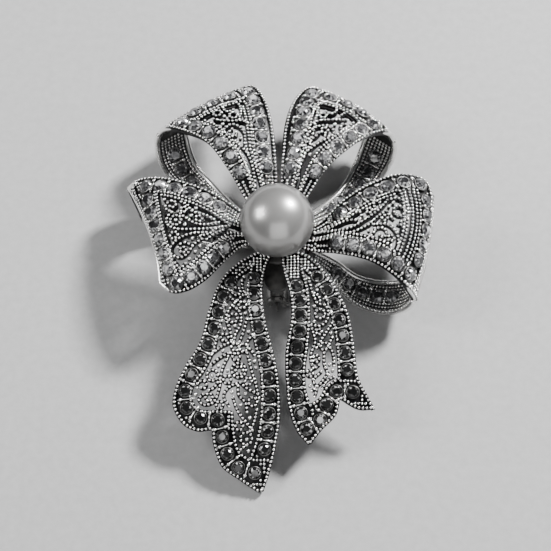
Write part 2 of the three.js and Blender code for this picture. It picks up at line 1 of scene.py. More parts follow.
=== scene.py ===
"""A bow brooch: pierced, beaded and stone-set ribbon loops and tails around a pearl, with a pin back.

Lengths are millimetres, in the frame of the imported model, until a mesh is made from them. The brooch lies
on its back: +Z points out of its front, +Y towards the top of the bow.
"""

import math
from collections import namedtuple

import bmesh
import bpy
import numpy as np
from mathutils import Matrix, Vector
from mathutils.geometry import delaunay_2d_cdt


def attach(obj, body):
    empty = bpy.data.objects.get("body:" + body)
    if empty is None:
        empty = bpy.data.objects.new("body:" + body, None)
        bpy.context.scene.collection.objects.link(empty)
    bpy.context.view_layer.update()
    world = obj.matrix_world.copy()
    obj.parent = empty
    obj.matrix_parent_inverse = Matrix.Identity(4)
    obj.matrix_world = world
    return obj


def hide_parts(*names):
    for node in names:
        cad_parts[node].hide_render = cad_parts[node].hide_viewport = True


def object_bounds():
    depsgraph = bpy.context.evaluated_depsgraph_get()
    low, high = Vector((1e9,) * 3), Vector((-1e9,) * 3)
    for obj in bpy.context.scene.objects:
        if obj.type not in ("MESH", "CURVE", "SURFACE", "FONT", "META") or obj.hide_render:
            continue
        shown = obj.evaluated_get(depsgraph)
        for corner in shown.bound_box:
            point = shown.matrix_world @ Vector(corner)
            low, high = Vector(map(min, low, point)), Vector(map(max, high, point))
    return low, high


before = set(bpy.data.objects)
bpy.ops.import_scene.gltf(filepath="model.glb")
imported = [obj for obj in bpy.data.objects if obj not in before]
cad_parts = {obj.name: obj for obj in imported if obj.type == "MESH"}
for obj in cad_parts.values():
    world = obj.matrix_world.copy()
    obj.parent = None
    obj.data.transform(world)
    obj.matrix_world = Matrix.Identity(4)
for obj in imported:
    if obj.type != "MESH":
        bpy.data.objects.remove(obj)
cad_low, cad_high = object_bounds()

MM = 0.001

# ------------ driving dimensions

BEAD_R = 0.19  # the beads that stand in lines on a wall, or rib, of metal
BEAD_PITCH = 0.53
BEAD_LIFT = 0.36  # centre of a bead above the middle of its leaf
RIB_WIDTH = 0.46
RIB_TOP = 0.24
RIB_BOTTOM = -0.44
SHEET_TOP = 0.06  # faces of the floor of a fan or tail, from the middle of the leaf
SHEET_BOTTOM = -0.38
EDGE_LINE = 0.26  # from a leaf's edge to its first line of beads
EDGE_INSET = 1.5  # from a leaf's edge to the middle of its stones
PANEL_INSET = 2.6  # from a leaf's edge to its pierced panel
PANEL_START = 0.9  # station where a fan's panel starts
PANEL_GAP = 0.15  # stations between a panel's end and the ends of what stands in it
BORDER_LINE = 0.12  # from a panel's edge out to the line of beads round it
INNER_LINE = 0.38  # from a panel's edge in to the lines of beads along its sides
ROOT_WIDTH = 7.4  # a fan narrower than this squeezes its channels
FOLD = 6  # station number of a loop's fold
FOLD_INSET = 2.75  # from a fan's edge to the ends of the row over its fold
SIDE_START = 1.5  # station where the stones along a fan's sides start
CORNER_STATIONS = 0.25  # how far those stones run past the middle of the row over the fold
GAP_LEFT = 0.6  # widest radius of a gap that's left open in the scrollwork
SPLIT = 2 / 7  # share of a fan's width that carries on as the strip
STATION = 3.5  # typical length of a station near the fold
GRAIN_R = 0.19  # the small beads between the stones and the lines of beads
GRAIN_LIFT = 0.2
GRAIN_CLEAR_OF_BEADS = 0.38
GRAIN_CLEAR_OF_STONES = 0.3
GRAIN_PITCH = {"fan": 0.46, "strip": 0.48, "tail": 0.47}
RING_R = 0.38, 0.72  # least and greatest radius of a ring that fills a gap
POST_R = 0.12  # the post under a single bead that fills a gap
POST_WALL = 0.2  # thickness of the wall that turns to make that post
POST_BEAD_R = 0.26

STONE_PITCH = 2.3
STONE_R = 0.93
BLACK_STONE_R = 0.82
STONE_LIFT = 0.42  # girdle of a stone above the middle of its leaf
CUP_DEPTH = 0.62
CUP_SIDES = 16
CLAW_OFFSET = 0.72  # from the middle of a row of stones to its claws
CLAW_R = 0.23
CLAW_LIFT = 0.54
BAR_REACH = 1.15  # half the length of the bar between two stones
BAR_R = 0.1
BAR_LIFT = 0.42

TAIL_CREST_Y = -8
TAIL_CREST_Z = 4.2
TAIL_DROP = 0.0117  # how fast a tail falls away along its ridge
TAIL_SAG = 0.008  # and across it

PEARL_R = 5
PEARL_Z = 9.07

rng = np.random.default_rng(11)

# ------------ the leaves, as in the CAD model

LOOPS = {
    "upper_left": {
        "first": [(-2, 1.7, 3.9), (-4.1, 5.3, 5), (-6.7, 9.4, 6.6), (-9.7, 13.4, 7), (-13.1, 15.8, 5.8),
                  (-15.6, 17.4, 3.8), (-16.6, 17.8, 1.6)],
        "middle": [(-1, 2, 3.9), (-2.3, 6.1, 5.6), (-4, 10.7, 7.2), (-6.1, 15.8, 7.6), (-8.4, 19.4, 6),
                   (-9.9, 21.5, 3.5), (-10.3, 22.4, 1.2)],
        "second": [(-0.2, 2, 3.9), (-0.1, 6.2, 5), (-0.1, 11.1, 6.2), (-0.6, 16.5, 6.6), (-1.8, 21.6, 5.6),
                   (-3.4, 24.5, 3.8), (-4.4, 25.4, 1.8)],
        "strip_side": 0,
        "strip_outer": [(-16.9, 17, -0.8), (-16.1, 15.2, -3.1), (-13.6, 12.3, -3.9), (-8.6, 7, -2),
                        (-3.7, 2.2, 1.8)],
        "strip_inner": [(-12.8, 19.4, -1), (-11.5, 16, -3.2), (-9.1, 13, -3.8), (-5.6, 7.9, -1.8),
                        (-2.7, 3.8, 1.8)],
    },
    "upper_right": {
        "first": [(0.4, 2, 3.9), (0.7, 6.2, 5), (0.7, 11.1, 6.2), (1.1, 16.5, 6.6), (2.4, 21.1, 5.6),
                  (4.4, 24.2, 3.8), (5.8, 25.2, 1.8)],
        "middle": [(1.1, 2, 3.9), (2.4, 6, 5.6), (4.3, 10.6, 7.2), (7.2, 15.4, 7.6), (9.2, 19.3, 6),
                   (10.7, 21.3, 3.5), (11.2, 22, 1.2)],
        "second": [(2, 1.7, 3.9), (4, 6, 5), (6.8, 9.7, 6.4), (9.9, 12.8, 6.5), (13, 15.2, 5.8),
                   (15.6, 16.7, 3.8), (16.4, 16.8, 1.6)],
        "strip_side": 1,
        "strip_outer": [(16.5, 16.3, -0.8), (15.5, 15, -3.1), (13.4, 12.1, -3.9), (8.5, 6.7, -2),
                        (3.7, 2.2, 1.8)],
        "strip_inner": [(12.4, 18.8, -1), (11, 15.8, -3.2), (9.2, 12.4, -3.8), (5.8, 7.8, -1.8),
                        (2.7, 3.8, 1.8)],
    },
    "right": {
        "first": [(2, 0.5, 3.9), (5.7, 1.5, 5), (9.3, 4.9, 6.1), (13.4, 7.4, 6.6), (17.1, 8.8, 6.2),
                  (20.2, 8.6, 4.8), (21.5, 7.3, 2.8)],
        "middle": [(2.1, -0.1, 3.9), (5.6, -0.5, 5.4), (9.9, 0.2, 7.2), (14.6, 0.8, 7.8), (18.3, 0.7, 6.8),
                   (20.3, 0.8, 4.4), (20.9, 1, 1.6)],
        "second": [(2, -0.8, 3.9), (4.8, -2.3, 4.6), (8.5, -3.4, 5.8), (12.5, -4.8, 6.4), (15.6, -6.5, 5.6),
                   (17.6, -7.7, 3.6), (18.5, -8.2, 1)],
        "strip_side": 1,
        "strip_outer": [(17.1, -8.1, -1.8), (14.4, -7.5, -3.6), (10.8, -6, -3.9), (7.3, -3.1, -2),
                        (3.9, -1.7, 1.8)],
        "strip_inner": [(18.2, -3.4, -1.6), (14.2, -2.8, -3.5), (10.9, -1.8, -3.6), (8, -0.6, -1.6),
                        (4.1, -0.2, 1.8)],
    },
    "left": {
        "first": [(-2, -0.8, 3.9), (-4.6, -1.5, 4.6), (-7.2, -4.4, 5.2), (-9.7, -7.3, 5.4),
                  (-12, -8.7, 5.2), (-14.1, -8.7, 4.6), (-15.8, -7.1, 4.2)],
        "middle": [(-2.1, -0.1, 3.9), (-5.3, 0.4, 5.4), (-8.8, 0.1, 6.8), (-12.3, -0.5, 7.2),
                   (-14.7, -0.7, 6.6), (-16.2, -0.4, 5.4), (-17.1, 0, 4.4)],
        "second": [(-2, 0.5, 3.9), (-5.1, 3.8, 4.6), (-8.5, 5.9, 5.6), (-12.2, 7.4, 6), (-16.1, 8.9, 5),
                   (-19.2, 9.6, 3.2), (-20.5, 9.5, 1.2)],
        "strip_side": 1,
        "strip_outer": [(-19, 9.3, -1), (-16.4, 9, -3), (-12.2, 7.8, -3.6), (-7.2, 5, -2),
                        (-3.9, 1.5, 1.8)],
        "strip_inner": [(-17.9, 4.8, -0.4), (-15.6, 4.7, -3), (-11.8, 3.9, -3.6), (-7.1, 2, -1.8),
                        (-4, 0.1, 1.8)],
    },
}

# Stations of the lines that run across each fan: the end of its pierced panel, extra lines of beads, the
# stones over the fold and the last line of beads.
Crossing = namedtuple("Crossing", "panel extra stones last")
CROSSINGS = {
    "upper_left": Crossing(3.75, [3.98], 4.4, 5.0),
    "upper_right": Crossing(3.75, [3.98], 4.4, 5.0),
    "right": Crossing(3.55, [3.77, 3.97, 4.17, 4.35], 4.75, 5.2),
    "left": Crossing(4.1, [4.28], 4.75, 5.45),
}

TAILS = {
    "left": {
        "ridge_x": -5.5,
        "right": [(-0.5, -2.1), (-1.5, -4.8), (-1.9, -8.4), (-1.6, -12), (-0.8, -15.5), (-0.1, -18.5),
                  (0.3, -21), (0.4, -22.5), (0.4, -23.8), (0.4, -25), (0.3, -26.5), (0, -28), (-0.4, -30),
                  (-1, -32), (-1.8, -34.1)],
        "left": [(-1.9, -1.7), (-5, -3.6), (-7.6, -6.6), (-9.3, -11.4), (-10.3, -15.4), (-12.3, -18.7),
                 (-13.6, -21.5), (-13.9, -23.7), (-12.5, -26.1), (-10.6, -27), (-8.7, -26.9), (-8.5, -28.5),
                 (-7.4, -31.2), (-4.9, -32.9), (-2.6, -34.2)],
        "right_corners": (),
        "left_corners": (10,),
        "outer_stones": [(-5.7, -6), (-7.5, -10.2), (-8.5, -14.4), (-10.6, -18.6), (-12.2, -21.7),
                         (-11.9, -24.2), (-10.3, -25.3), (-7.9, -25.6), (-7.2, -28), (-6.3, -30.2),
                         (-4.5, -31.7), (-1.8, -32)],
        "inner_stones": [(-3.1, -5.2), (-3.1, -9.6), (-2.6, -13.4), (-1.7, -17.4), (-1.1, -21.2),
                         (-1.1, -25), (-1.4, -27.6), (-1.9, -30.2)],
        "panel": [(-3.5, -4.6), (-4, -8.2), (-3.6, -12.4), (-2.9, -16.1), (-2.2, -19.7), (-2.1, -23.9),
                  (-2.6, -27.6), (-3.7, -30.4), (-5.1, -29.3), (-5.7, -27), (-5.9, -24.6), (-8.2, -24.5),
                  (-10.4, -24.3), (-11.4, -22.9), (-11.1, -21.2), (-9.9, -19.7), (-8.4, -16.8),
                  (-7.4, -12.6), (-6.5, -8.7), (-5.5, -6.6)],
        "panel_corners": (7, 10),
    },
    "right": {
        "ridge_x": 5.5,
        "right": [(1.9, -1.7), (4.5, -2.9), (6.6, -5.5), (8.5, -8.7), (9.8, -12.3), (10.4, -16.5),
                  (10.9, -20.2), (12.1, -22.5), (13.1, -24.2), (10.8, -24.3), (8.4, -23.1), (7.9, -25),
                  (5.9, -27), (4.5, -28.6)],
        "left": [(0.5, -2.1), (0.8, -5), (1.5, -7.8), (1.9, -10.2), (1.8, -12.8), (1.4, -15), (1.2, -16.3),
                 (1.1, -17.2), (1.1, -18.1), (1.1, -19.2), (1.2, -21), (1.5, -24), (2.6, -27),
                 (4.1, -28.7)],
        "right_corners": (8, 10),
        "left_corners": (),
        "outer_stones": [(4.8, -5.2), (7.1, -8.8), (8.4, -13), (9, -16.6), (9.5, -20.4)],
        "inner_stones": [(2.4, -6.4), (3.1, -9.6), (3.1, -13.6), (2.6, -17.4), (2.5, -21.4), (3.2, -24.8),
                         (4.1, -26.8), (5.8, -25.6), (6.6, -23.8), (7.9, -22.1), (11.2, -22.3)],
        "panel": [(3.4, -4.6), (4.2, -8.2), (4.4, -12.7), (4.1, -16.1), (3.7, -19.7), (3.8, -21.8),
                  (4.4, -23.8), (5.6, -23), (6.6, -21.5), (8.2, -20.3), (8, -16.1), (7.5, -12.9),
                  (6.6, -9.7), (5.3, -6.9)],
        "panel_corners": (6, 9),
    },
}

# ------------ curves

Trace = namedtuple("Trace", "points normals closed", defaults=[False])


def unit(vectors):
    return vectors / np.maximum(np.linalg.norm(vectors, axis=-1, keepdims=True), 1e-9)


def smooth(points):
    """A centripetal Catmull-Rom curve through points, read by the number of the point."""
    inner = np.array([(*point, 0.0)[:3] for point in points], float)
    row = np.vstack([2 * inner[0] - inner[1], inner, 2 * inner[-1] - inner[-2]])

    def at(number):
        number = np.asarray(number, float)
        i = np.clip(np.floor(number).astype(int), 0, len(inner) - 2)
        w = (number - i)[..., None]
        before, start, end, after = (row[i + k] for k in range(4))
        spans = [np.sqrt(np.maximum(np.linalg.norm(q - p, axis=-1, keepdims=True), 1e-6))
                 for p, q in ((before, start), (start, end), (end, after))]
        leave = ((start - before) / spans[0] - (end - before) / (spans[0] + spans[1])
                 + (end - start) / spans[1]) * spans[1]
        arrive = ((end - start) / spans[1] - (after - start) / (spans[1] + spans[2])
                  + (after - end) / spans[2]) * spans[1]
        return (start + w * leave + w**2 * (3 * (end - start) - 2 * leave - arrive)
                + w**3 * (2 * (start - end) + leave + arrive))

    return at


def rail(points, corners=()):
    """A smooth curve that turns sharply at the numbered corners."""
    cuts = [0, *corners, len(points) - 1]
    pieces = [smooth(points[a:b + 1]) for a, b in zip(cuts, cuts[1:])]

    def at(number):
        number = np.asarray(number, float)
        place = pieces[0](number)
        for cut, piece in zip(cuts[1:-1], pieces[1:]):
            place = np.where((number > cut)[..., None], piece(number - cut), place)
        return place

    return at


def drawn(points, corners=(), fine=10):
    """A rail as a plan polyline."""
    return rail(points, corners)(np.linspace(0, len(points) - 1, fine * (len(points) - 1) + 1))[:, :2]


def loop_line(points, corners=()):
    """A closed rail as a plan polyline, without its last point again."""
    return drawn([*points, points[0]], corners)[:-1]


def arc(x, y, radius, start, turn, end_radius=None):
    """A plan polyline that turns about a centre, from one radius to another. Angles are in degrees."""
    end_radius = radius if end_radius is None else end_radius
    count = max(6, int(abs(turn) / 18))
    angles = np.radians(np.linspace(start, start + turn, count + 1))
    radii = np.linspace(radius, end_radius, count + 1)
    return np.stack([x + radii * np.cos(angles), y + radii * np.sin(angles)], 1)


def ring(x, y, radius):
    """A closed circle in plan. Its first point isn't repeated."""
    return arc(x, y, radius, 0, 342)


def reach_of(points):
    return np.concatenate([[0], np.cumsum(np.linalg.norm(np.diff(points, axis=0), axis=1))])


def closing(array):
    return np.vstack([array, array[:1]])


def spaced(trace, pitch, margin=0.0):
    """Evenly spaced places along a trace, as near to a pitch apart as fits."""
    points, normals = trace.points, trace.normals
    if trace.closed:
        points, normals = closing(points), closing(normals)
    reach = reach_of(points)
    count = max(1, round((reach[-1] - 2 * margin) / pitch))
    where = np.linspace(margin, reach[-1] - margin, count + 1)
    if trace.closed:
        where = where[:-1]
    pick = [np.stack([np.interp(where, reach, array[:, k]) for k in range(3)], 1)
            for array in (points, normals)]
    return Trace(pick[0], unit(pick[1]), trace.closed)


def headings(trace):
    """The direction of travel at each point of a trace."""
    points = trace.points
    if trace.closed:
        return unit(np.roll(points, -1, 0) - np.roll(points, 1, 0))
    return unit(np.gradient(points, axis=0))


# ------------ surfaces of the leaves


def loop_surfaces(loop):
    """The fan's surface(u, station) and the strip's, whose stations carry on from FOLD."""
    side = loop["strip_side"]
    edges = [rail(edge + (loop["strip_outer"] if k == side else []))
             for k, edge in enumerate((loop["first"], loop["second"]))]
    middle = rail(loop["middle"])

    def fan(u, station):
        u = np.asarray(u, float)[..., None]
        return (edges[0](station) * (1 - u) * (1 - 2 * u) + middle(station) * 4 * u * (1 - u)
                + edges[1](station) * u * (2 * u - 1))

    inner_u = SPLIT if side == 0 else 1 - SPLIT
    over_fold = [tuple(fan(inner_u, station)) for station in (FOLD - 2, FOLD - 1, FOLD)]
    inner = rail(over_fold + loop["strip_inner"])
    low, high = edges[side], lambda station: inner(np.asarray(station, float) - FOLD + 2)
    if side == 1:
        low, high = high, low

    def strip(u, station):
        u = np.asarray(u, float)[..., None]
        return low(station) * (1 - u) + high(station) * u

    return fan, strip


def front(surface, u, station):
    """The unit normal out of the front of a surface."""
    d = 0.02
    across = surface(u + d, station) - surface(u - d, station)
    along = surface(u, station + d) - surface(u, station - d)
    return unit(np.cross(across, along))


def on_surface(surface, u, station, closed=False):
    u, station = np.broadcast_arrays(np.asarray(u, float), np.asarray(station, float))
    return Trace(surface(u, station), front(surface, u, station), closed)


def inset_u(surface, side, inset, station):
    """Where a line lies that runs an inset in from one edge."""
    station = np.asarray(station, float)
    ones = np.ones_like(station)
    width = np.linalg.norm(surface(ones, station) - surface(0 * ones, station), axis=-1)
    share = inset / np.maximum(width, ROOT_WIDTH)
    return share if side == 0 else 1 - share


def along_fan(fan, side, inset, stations):
    """A line up one side of a fan."""
    return on_surface(fan, inset_u(fan, side, inset, stations), stations)


def across_fan(fan, inset, station, count):
    """A line across a fan, with its ends an inset in from the edges."""
    u = np.linspace(*(inset_u(fan, side, inset, station) for side in (0, 1)), count)
    return on_surface(fan, u, station)


def round_the_fold(fan, inset, start, end, corner):
    """Up one side of a fan, across its fold and down its other side, with rounded corners."""
    quarter = np.linspace(0, math.pi / 2, 9)
    up = np.linspace(start, end - corner / STATION, 70)
    turn = end - corner / STATION * (1 - np.sin(quarter))
    drift = corner * (1 - np.cos(quarter))
    halves = []
    for side in (0, 1):
        u = np.concatenate([inset_u(fan, side, inset, up), inset_u(fan, side, inset + drift, turn)])
        halves.append(np.stack([u, np.concatenate([up, turn])], 1))
    across = np.linspace(halves[0][-1, 0], halves[1][-1, 0], 30)[1:-1]
    line = np.vstack([halves[0], np.stack([across, np.full_like(across, end)], 1), halves[1][::-1]])
    return on_surface(fan, line[:, 0], line[:, 1])


def dropper(fan):
    """Finds the places on a fan that lie straight below a plan polyline."""
    grids = np.meshgrid(np.linspace(0, 1, 41), np.linspace(0, 5, 101))
    u_grid, station_grid = (grid.ravel() for grid in grids)
    plan = fan(u_grid, station_grid)[:, :2]

    def drop(line, closed=False):
        nearest = ((line[:, None] - plan[None]) ** 2).sum(-1).argmin(1)
        u, station = u_grid[nearest], station_grid[nearest]
        d = 0.01
        for _ in range(4):
            here = fan(u, station)[:, :2]
            across = (fan(u + d, station)[:, :2] - here) / d
            along = (fan(u, station + d)[:, :2] - here) / d
            miss = line - here
            scale = across[:, 0] * along[:, 1] - across[:, 1] * along[:, 0]
            u = u + (miss[:, 0] * along[:, 1] - miss[:, 1] * along[:, 0]) / scale
            station = station + (across[:, 0] * miss[:, 1] - across[:, 1] * miss[:, 0]) / scale
        return on_surface(fan, u, station, closed)

    return drop


def tail_dropper(tail):
    def drop(line, closed=False):
        x, y = line[:, 0] - tail["ridge_x"], line[:, 1] - TAIL_CREST_Y
        z = TAIL_CREST_Z - TAIL_DROP * y**2 - TAIL_SAG * x**2
        normals = np.stack([2 * TAIL_SAG * x, 2 * TAIL_DROP * y, np.ones(len(line))], 1)
        return Trace(np.column_stack([line, z]), unit(normals), closed)

    return drop


def offset_plan(line, inset):
    """A closed plan polyline moved to its own left."""
    ahead = unit(np.roll(line, -1, 0) - np.roll(line, 1, 0))
    return line + inset * np.stack([-ahead[:, 1], ahead[:, 0]], 1)


# ------------ meshes


class Pile:
    """Gathers the parts of one mesh. Polish is 0 in the dark recesses and 1 on what the hand rubs; on beads
    it also holds a painted highlight, lighter towards their tops.
    """

    def __init__(self):
        self.points, self.polish, self.faces, self.smooth, self.facet_glint = [], [], [], [], []
        self.beads, self.stones = [], []
        self.count = 0

    def add(self, points, faces, polish=1.0, smooth_faces=True, facet_glint=0.5):
        """Adds points, and faces that number them from 0. Returns the first point's number in the pile."""
        first = self.count
        points = np.asarray(points, float).reshape(-1, 3)
        self.points.append(points)
        self.polish.append(np.broadcast_to(np.asarray(polish, float), len(points)))
        self.add_faces(np.asarray(faces, int) + first, smooth_faces, facet_glint)
        self.count += len(points)
        return first

    def add_faces(self, faces, smooth_faces=False, facet_glint=0.5):
        """Adds faces between points that are in the pile already."""
        self.faces.append(faces)
        self.smooth.append(np.full(len(faces), smooth_faces))
        self.facet_glint.append(np.broadcast_to(np.asarray(facet_glint, float), len(faces)))

    def piece(self, name, slot, node):
        """Makes the mesh, hangs it on the bow's body, gives it the material of its slot and hides the CAD
        part that it stands for.
        """
        points = np.vstack(self.points) * MM
        corners = np.concatenate([block.ravel() for block in self.faces])
        sizes = np.concatenate([np.full(len(block), block.shape[1]) for block in self.faces])
        mesh = bpy.data.meshes.new(name)
        mesh.vertices.add(len(points))
        mesh.vertices.foreach_set("co", points.astype(np.float32).ravel())
        mesh.loops.add(len(corners))
        mesh.loops.foreach_set("vertex_index", corners.astype(np.int32))
        mesh.polygons.add(len(sizes))
        mesh.polygons.foreach_set("loop_start", (np.cumsum(sizes) - sizes).astype(np.int32))
        mesh.polygons.foreach_set("use_smooth", np.concatenate(self.smooth))
        mesh.update(calc_edges=True)
        # The per-face tone of a stone is its painted reflection.
        for kind, domain, values in (("polish", "POINT", self.polish), ("facet_glint", "FACE", self.facet_glint)):
            made = mesh.attributes.new(kind, "FLOAT", domain)
            made.data.foreach_set("value", np.concatenate(values).astype(np.float32))
        mesh.validate()
        mesh.materials.append(MATERIALS[slot])
        made = bpy.data.objects.new(name, mesh)
        bpy.context.scene.collection.objects.link(made)
        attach(made, "bow")
        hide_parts(node)


def icosphere():
    ball = bmesh.new()
    bmesh.ops.create_icosphere(ball, subdivisions=2, radius=1)
    points = np.array([tuple(vert.co) for vert in ball.verts])
    faces = np.array([[vert.index for vert in face.verts] for face in ball.faces])
    ball.free()
    return points, faces


BALL_POINTS, BALL_FACES = icosphere()


def copies(pile, points, faces, frames, polish, smooth_faces=True, facet_glint=0.5):
    """Adds one copy of a small mesh for each frame, which is an origin and three axes."""
    origin, ahead, side, up = frames
    placed = (origin[:, None] + points[None, :, :1] * ahead[:, None] + points[None, :, 1:2] * side[:, None]
              + points[None, :, 2:] * up[:, None])
    numbers = faces[None] + (np.arange(len(origin)) * len(points))[:, None, None]
    every_polish = np.tile(np.broadcast_to(polish, len(points)), len(origin))
    pile.add(placed, numbers.reshape(-1, faces.shape[1]), every_polish, smooth_faces, facet_glint)


def grid_faces(rows, columns):
    """The faces of a grid of points, row by row."""
    a = (np.arange(rows - 1)[:, None] * columns + np.arange(columns - 1)[None]).ravel()
    return np.stack([a, a + 1, a + columns + 1, a + columns], 1)


def turned(profile, sides):
    """A mesh about Z from a profile of radius and height."""
    angles = 2 * math.pi * np.arange(sides) / sides
    points = np.array([(r * math.cos(a), r * math.sin(a), z) for r, z in profile for a in angles])
    k = np.arange(sides)
    base = np.arange(len(profile) - 1)[:, None] * sides
    after = (k + 1) % sides
    faces = np.stack([base + k, base + after, base + sides + after, base + sides + k], -1)
    return points, faces.reshape(-1, 4)


def frames_of(trace, lift=0.0):
    ahead = headings(trace)
    side = unit(np.cross(trace.normals, ahead))
    return trace.points + trace.normals * lift, np.cross(side, trace.normals), side, trace.normals


def balls(pile, trace, radius=BEAD_R, lift=BEAD_LIFT):
    # Painted highlight: each bead is lighter towards its top and darker at its sides and underside. This is
    # partly rubbed wear and partly painted light.
    polish = np.clip(0.3 + 0.85 * BALL_POINTS[:, 2], 0, 1)
    side = unit(np.cross(trace.normals, (0, -1, 0.15)))
    frames = (trace.points + trace.normals * lift, np.cross(side, trace.normals), side, trace.normals)
    copies(pile, BALL_POINTS * radius, BALL_FACES, frames, polish)
    pile.beads.append(trace.points)


def sweep(pile, trace, section, polish, smooth_faces=False):
    """Sweeps a closed section of (sideways, up) along a trace. It may differ at each point of the trace."""
    origin, _, side, up = frames_of(trace)
    count = len(origin)
    corners = np.shape(section)[-2]
    section = np.broadcast_to(np.asarray(section, float), (count, corners, 2))
    points = origin[:, None] + section[..., :1] * side[:, None] + section[..., 1:] * up[:, None]
    steps = count if trace.closed else count - 1
    here = np.arange(steps)[:, None] * corners
    following = (np.arange(steps)[:, None] + 1) % count * corners
    k = np.arange(corners)[None]
    after = (k + 1) % corners
    faces = np.stack([here + k, here + after, following + after, following + k], -1).reshape(-1, 4)
    first = pile.add(points, faces, np.tile(polish, count), smooth_faces)
    if not trace.closed:
        caps = np.array([np.arange(corners)[::-1], np.arange(corners) + (count - 1) * corners])
        pile.add_faces(caps + first)


def rib(pile, trace, width=RIB_WIDTH):
    """An upright wall of metal."""
    half = width / 2
    section = [(half, RIB_BOTTOM), (half, RIB_TOP), (-half, RIB_TOP), (-half, RIB_BOTTOM)]
    sweep(pile, trace, section, [0.02, 0.06, 0.06, 0.02])


def wire(pile, trace, radius, lift, polish, sides=8, taper=0):
    """A round bar along a trace. It grows from a thin start over the first taper points."""
    angles = 2 * math.pi * np.arange(sides) / sides
    grown = np.clip((np.arange(len(trace.points)) + 1) / (taper + 1), 0, 1) ** 0.6
    radii = (radius * grown)[:, None]
    section = np.stack([radii * np.cos(angles), lift + radii * np.sin(angles)], -1)
    sweep(pile, trace, section, np.clip(polish + 0.2 * np.sin(angles), 0, 1), True)


def beaded(pile, trace):
    """A wall with a line of beads along its top."""
    rib(pile, spaced(trace, BEAD_PITCH / 2))
    balls(pile, spaced(trace, BEAD_PITCH))


def slab(pile, sheet, faces, low=SHEET_BOTTOM, high=SHEET_TOP, polish=0.05):
    """Gives faces that share points a thickness, and closes it along their free edges."""
    middle, normals = sheet.points.reshape(-1, 3), sheet.normals.reshape(-1, 3)
    count = len(middle)
    points = np.vstack([middle + normals * high, middle + normals * low])
    ways = {(int(a), int(b)): True for face in faces for a, b in zip(face, np.roll(face, -1))}
    walls = [(b, a, a + count, b + count) for a, b in ways if (b, a) not in ways]
    first = pile.add(points, np.vstack([faces, faces[:, ::-1] + count]), polish)
    pile.add_faces(np.array(walls) + first)


# ------------ stones and their settings


def crown():
    """A brilliant-cut top: girdle, kites, stars and table, as triangles. Its girdle has a radius of 1."""
    def circle(count, radius, height, shift=0.0):
        angles = 2 * math.pi * (np.arange(count) + shift) / count
        return np.stack([radius * np.cos(angles), radius * np.sin(angles), np.full(count, height)], 1)

    table, stars = circle(8, 0.56, 0.5), circle(8, 0.78, 0.3, 0.5)
    girdle, foot = circle(16, 1, 0), circle(16, 1, -0.2)
    points = np.vstack([table, stars, girdle, foot, [[0, 0, 0.5]], [[0, 0, -0.45]]])
    faces = []
    for i in range(8):
        j = (i + 1) % 8
        star, last_star = 8 + i, 8 + (i - 1) % 8
        corner, between, next_corner = 16 + 2 * i, 17 + 2 * i, 16 + 2 * j
        faces += [(48, i, j), (i, star, j), (i, last_star, corner), (i, corner, star),
                  (star, corner, between), (star, between, next_corner)]
    for k in range(16):
        after = (k + 1) % 16
        faces += [(16 + k, 32 + k, 32 + after), (16 + k, 32 + after, 16 + after), (32 + k, 49, 32 + after)]
    return points, np.array(faces)


CROWN_POINTS, CROWN_FACES = crown()
TABLE_FACES = range(0, 48, 6)  # the first of the six faces in each eighth of a crown


def facet_glint_tones(count):
    """A painted reflection tone for each face of each stone's crown, standing in for light caught by its
    facets. The faces of one table share theirs.
    """
    tones = rng.random((count, len(CROWN_FACES)))
    tones[:, TABLE_FACES] = rng.random((count, 1))
    return tones


def set_stones(leaf, stones, places, radius, face):
    """Puts stones at places: crowns in one pile, and cups, claws and bars in the leaf's."""
    flipped = Trace(places.points, places.normals * face, places.closed)
    tones = facet_glint_tones(len(places.points)).ravel()
    copies(stones, CROWN_POINTS * radius, CROWN_FACES, frames_of(flipped, STONE_LIFT), 1.0, False, tones)
    cups(leaf, flipped, radius / STONE_R)
    claws(leaf, flipped)
    leaf.stones.append(places.points)


def cups(leaf, places, scale):
    """A round cup under each stone, with a thin rim around its girdle."""
    profile = [(0.6, -CUP_DEPTH), (0.95, -CUP_DEPTH + 0.2), (1.04, 0.36), (1.04, 0.44), (0.96, 0.5),
               (0.9, 0.44), (0.9, 0.1)]
    tones = [0.1, 0.2, 0.3, 0.36, 0.4, 0.2, 0.05]
    points, faces = turned([(scale * r, z) for r, z in profile], CUP_SIDES)
    frames = frames_of(places)
    copies(leaf, points, faces, frames, np.repeat(tones, CUP_SIDES))
    ends = np.vstack([points[:CUP_SIDES], points[-CUP_SIDES:]])
    caps = np.array([np.arange(CUP_SIDES)[::-1], np.arange(CUP_SIDES) + CUP_SIDES])
    copies(leaf, ends, caps, frames, 0.08, False)


def claws(leaf, places):
    """A thin bar across the channel between two stones, with a claw bead at each end of it."""
    middle = (places.points[1:] + places.points[:-1]) / 2
    normals = unit(places.normals[1:] + places.normals[:-1])
    ahead = unit(places.points[1:] - places.points[:-1])
    side = unit(np.cross(normals, ahead))
    for way in (-1, 1):
        balls(leaf, Trace(middle + way * CLAW_OFFSET * side, normals), CLAW_R, CLAW_LIFT)
    for point, normal, across in zip(middle, normals, side):
        ends = np.array([point - across * BAR_REACH, point, point + across * BAR_REACH])
        wire(leaf, Trace(ends, np.tile(normal, (3, 1))), BAR_R, BAR_LIFT, polish=0.8, sides=6)


# ------------ scrollwork

# Each panel's bead lines, in plan. A list of points is a curve through them, a curl turns about a centre and
# may close in on it, and a ring is a closed circle.
Curl = namedtuple("Curl", "x y radius start turn end_radius")
Ring = namedtuple("Ring", "x y radius")

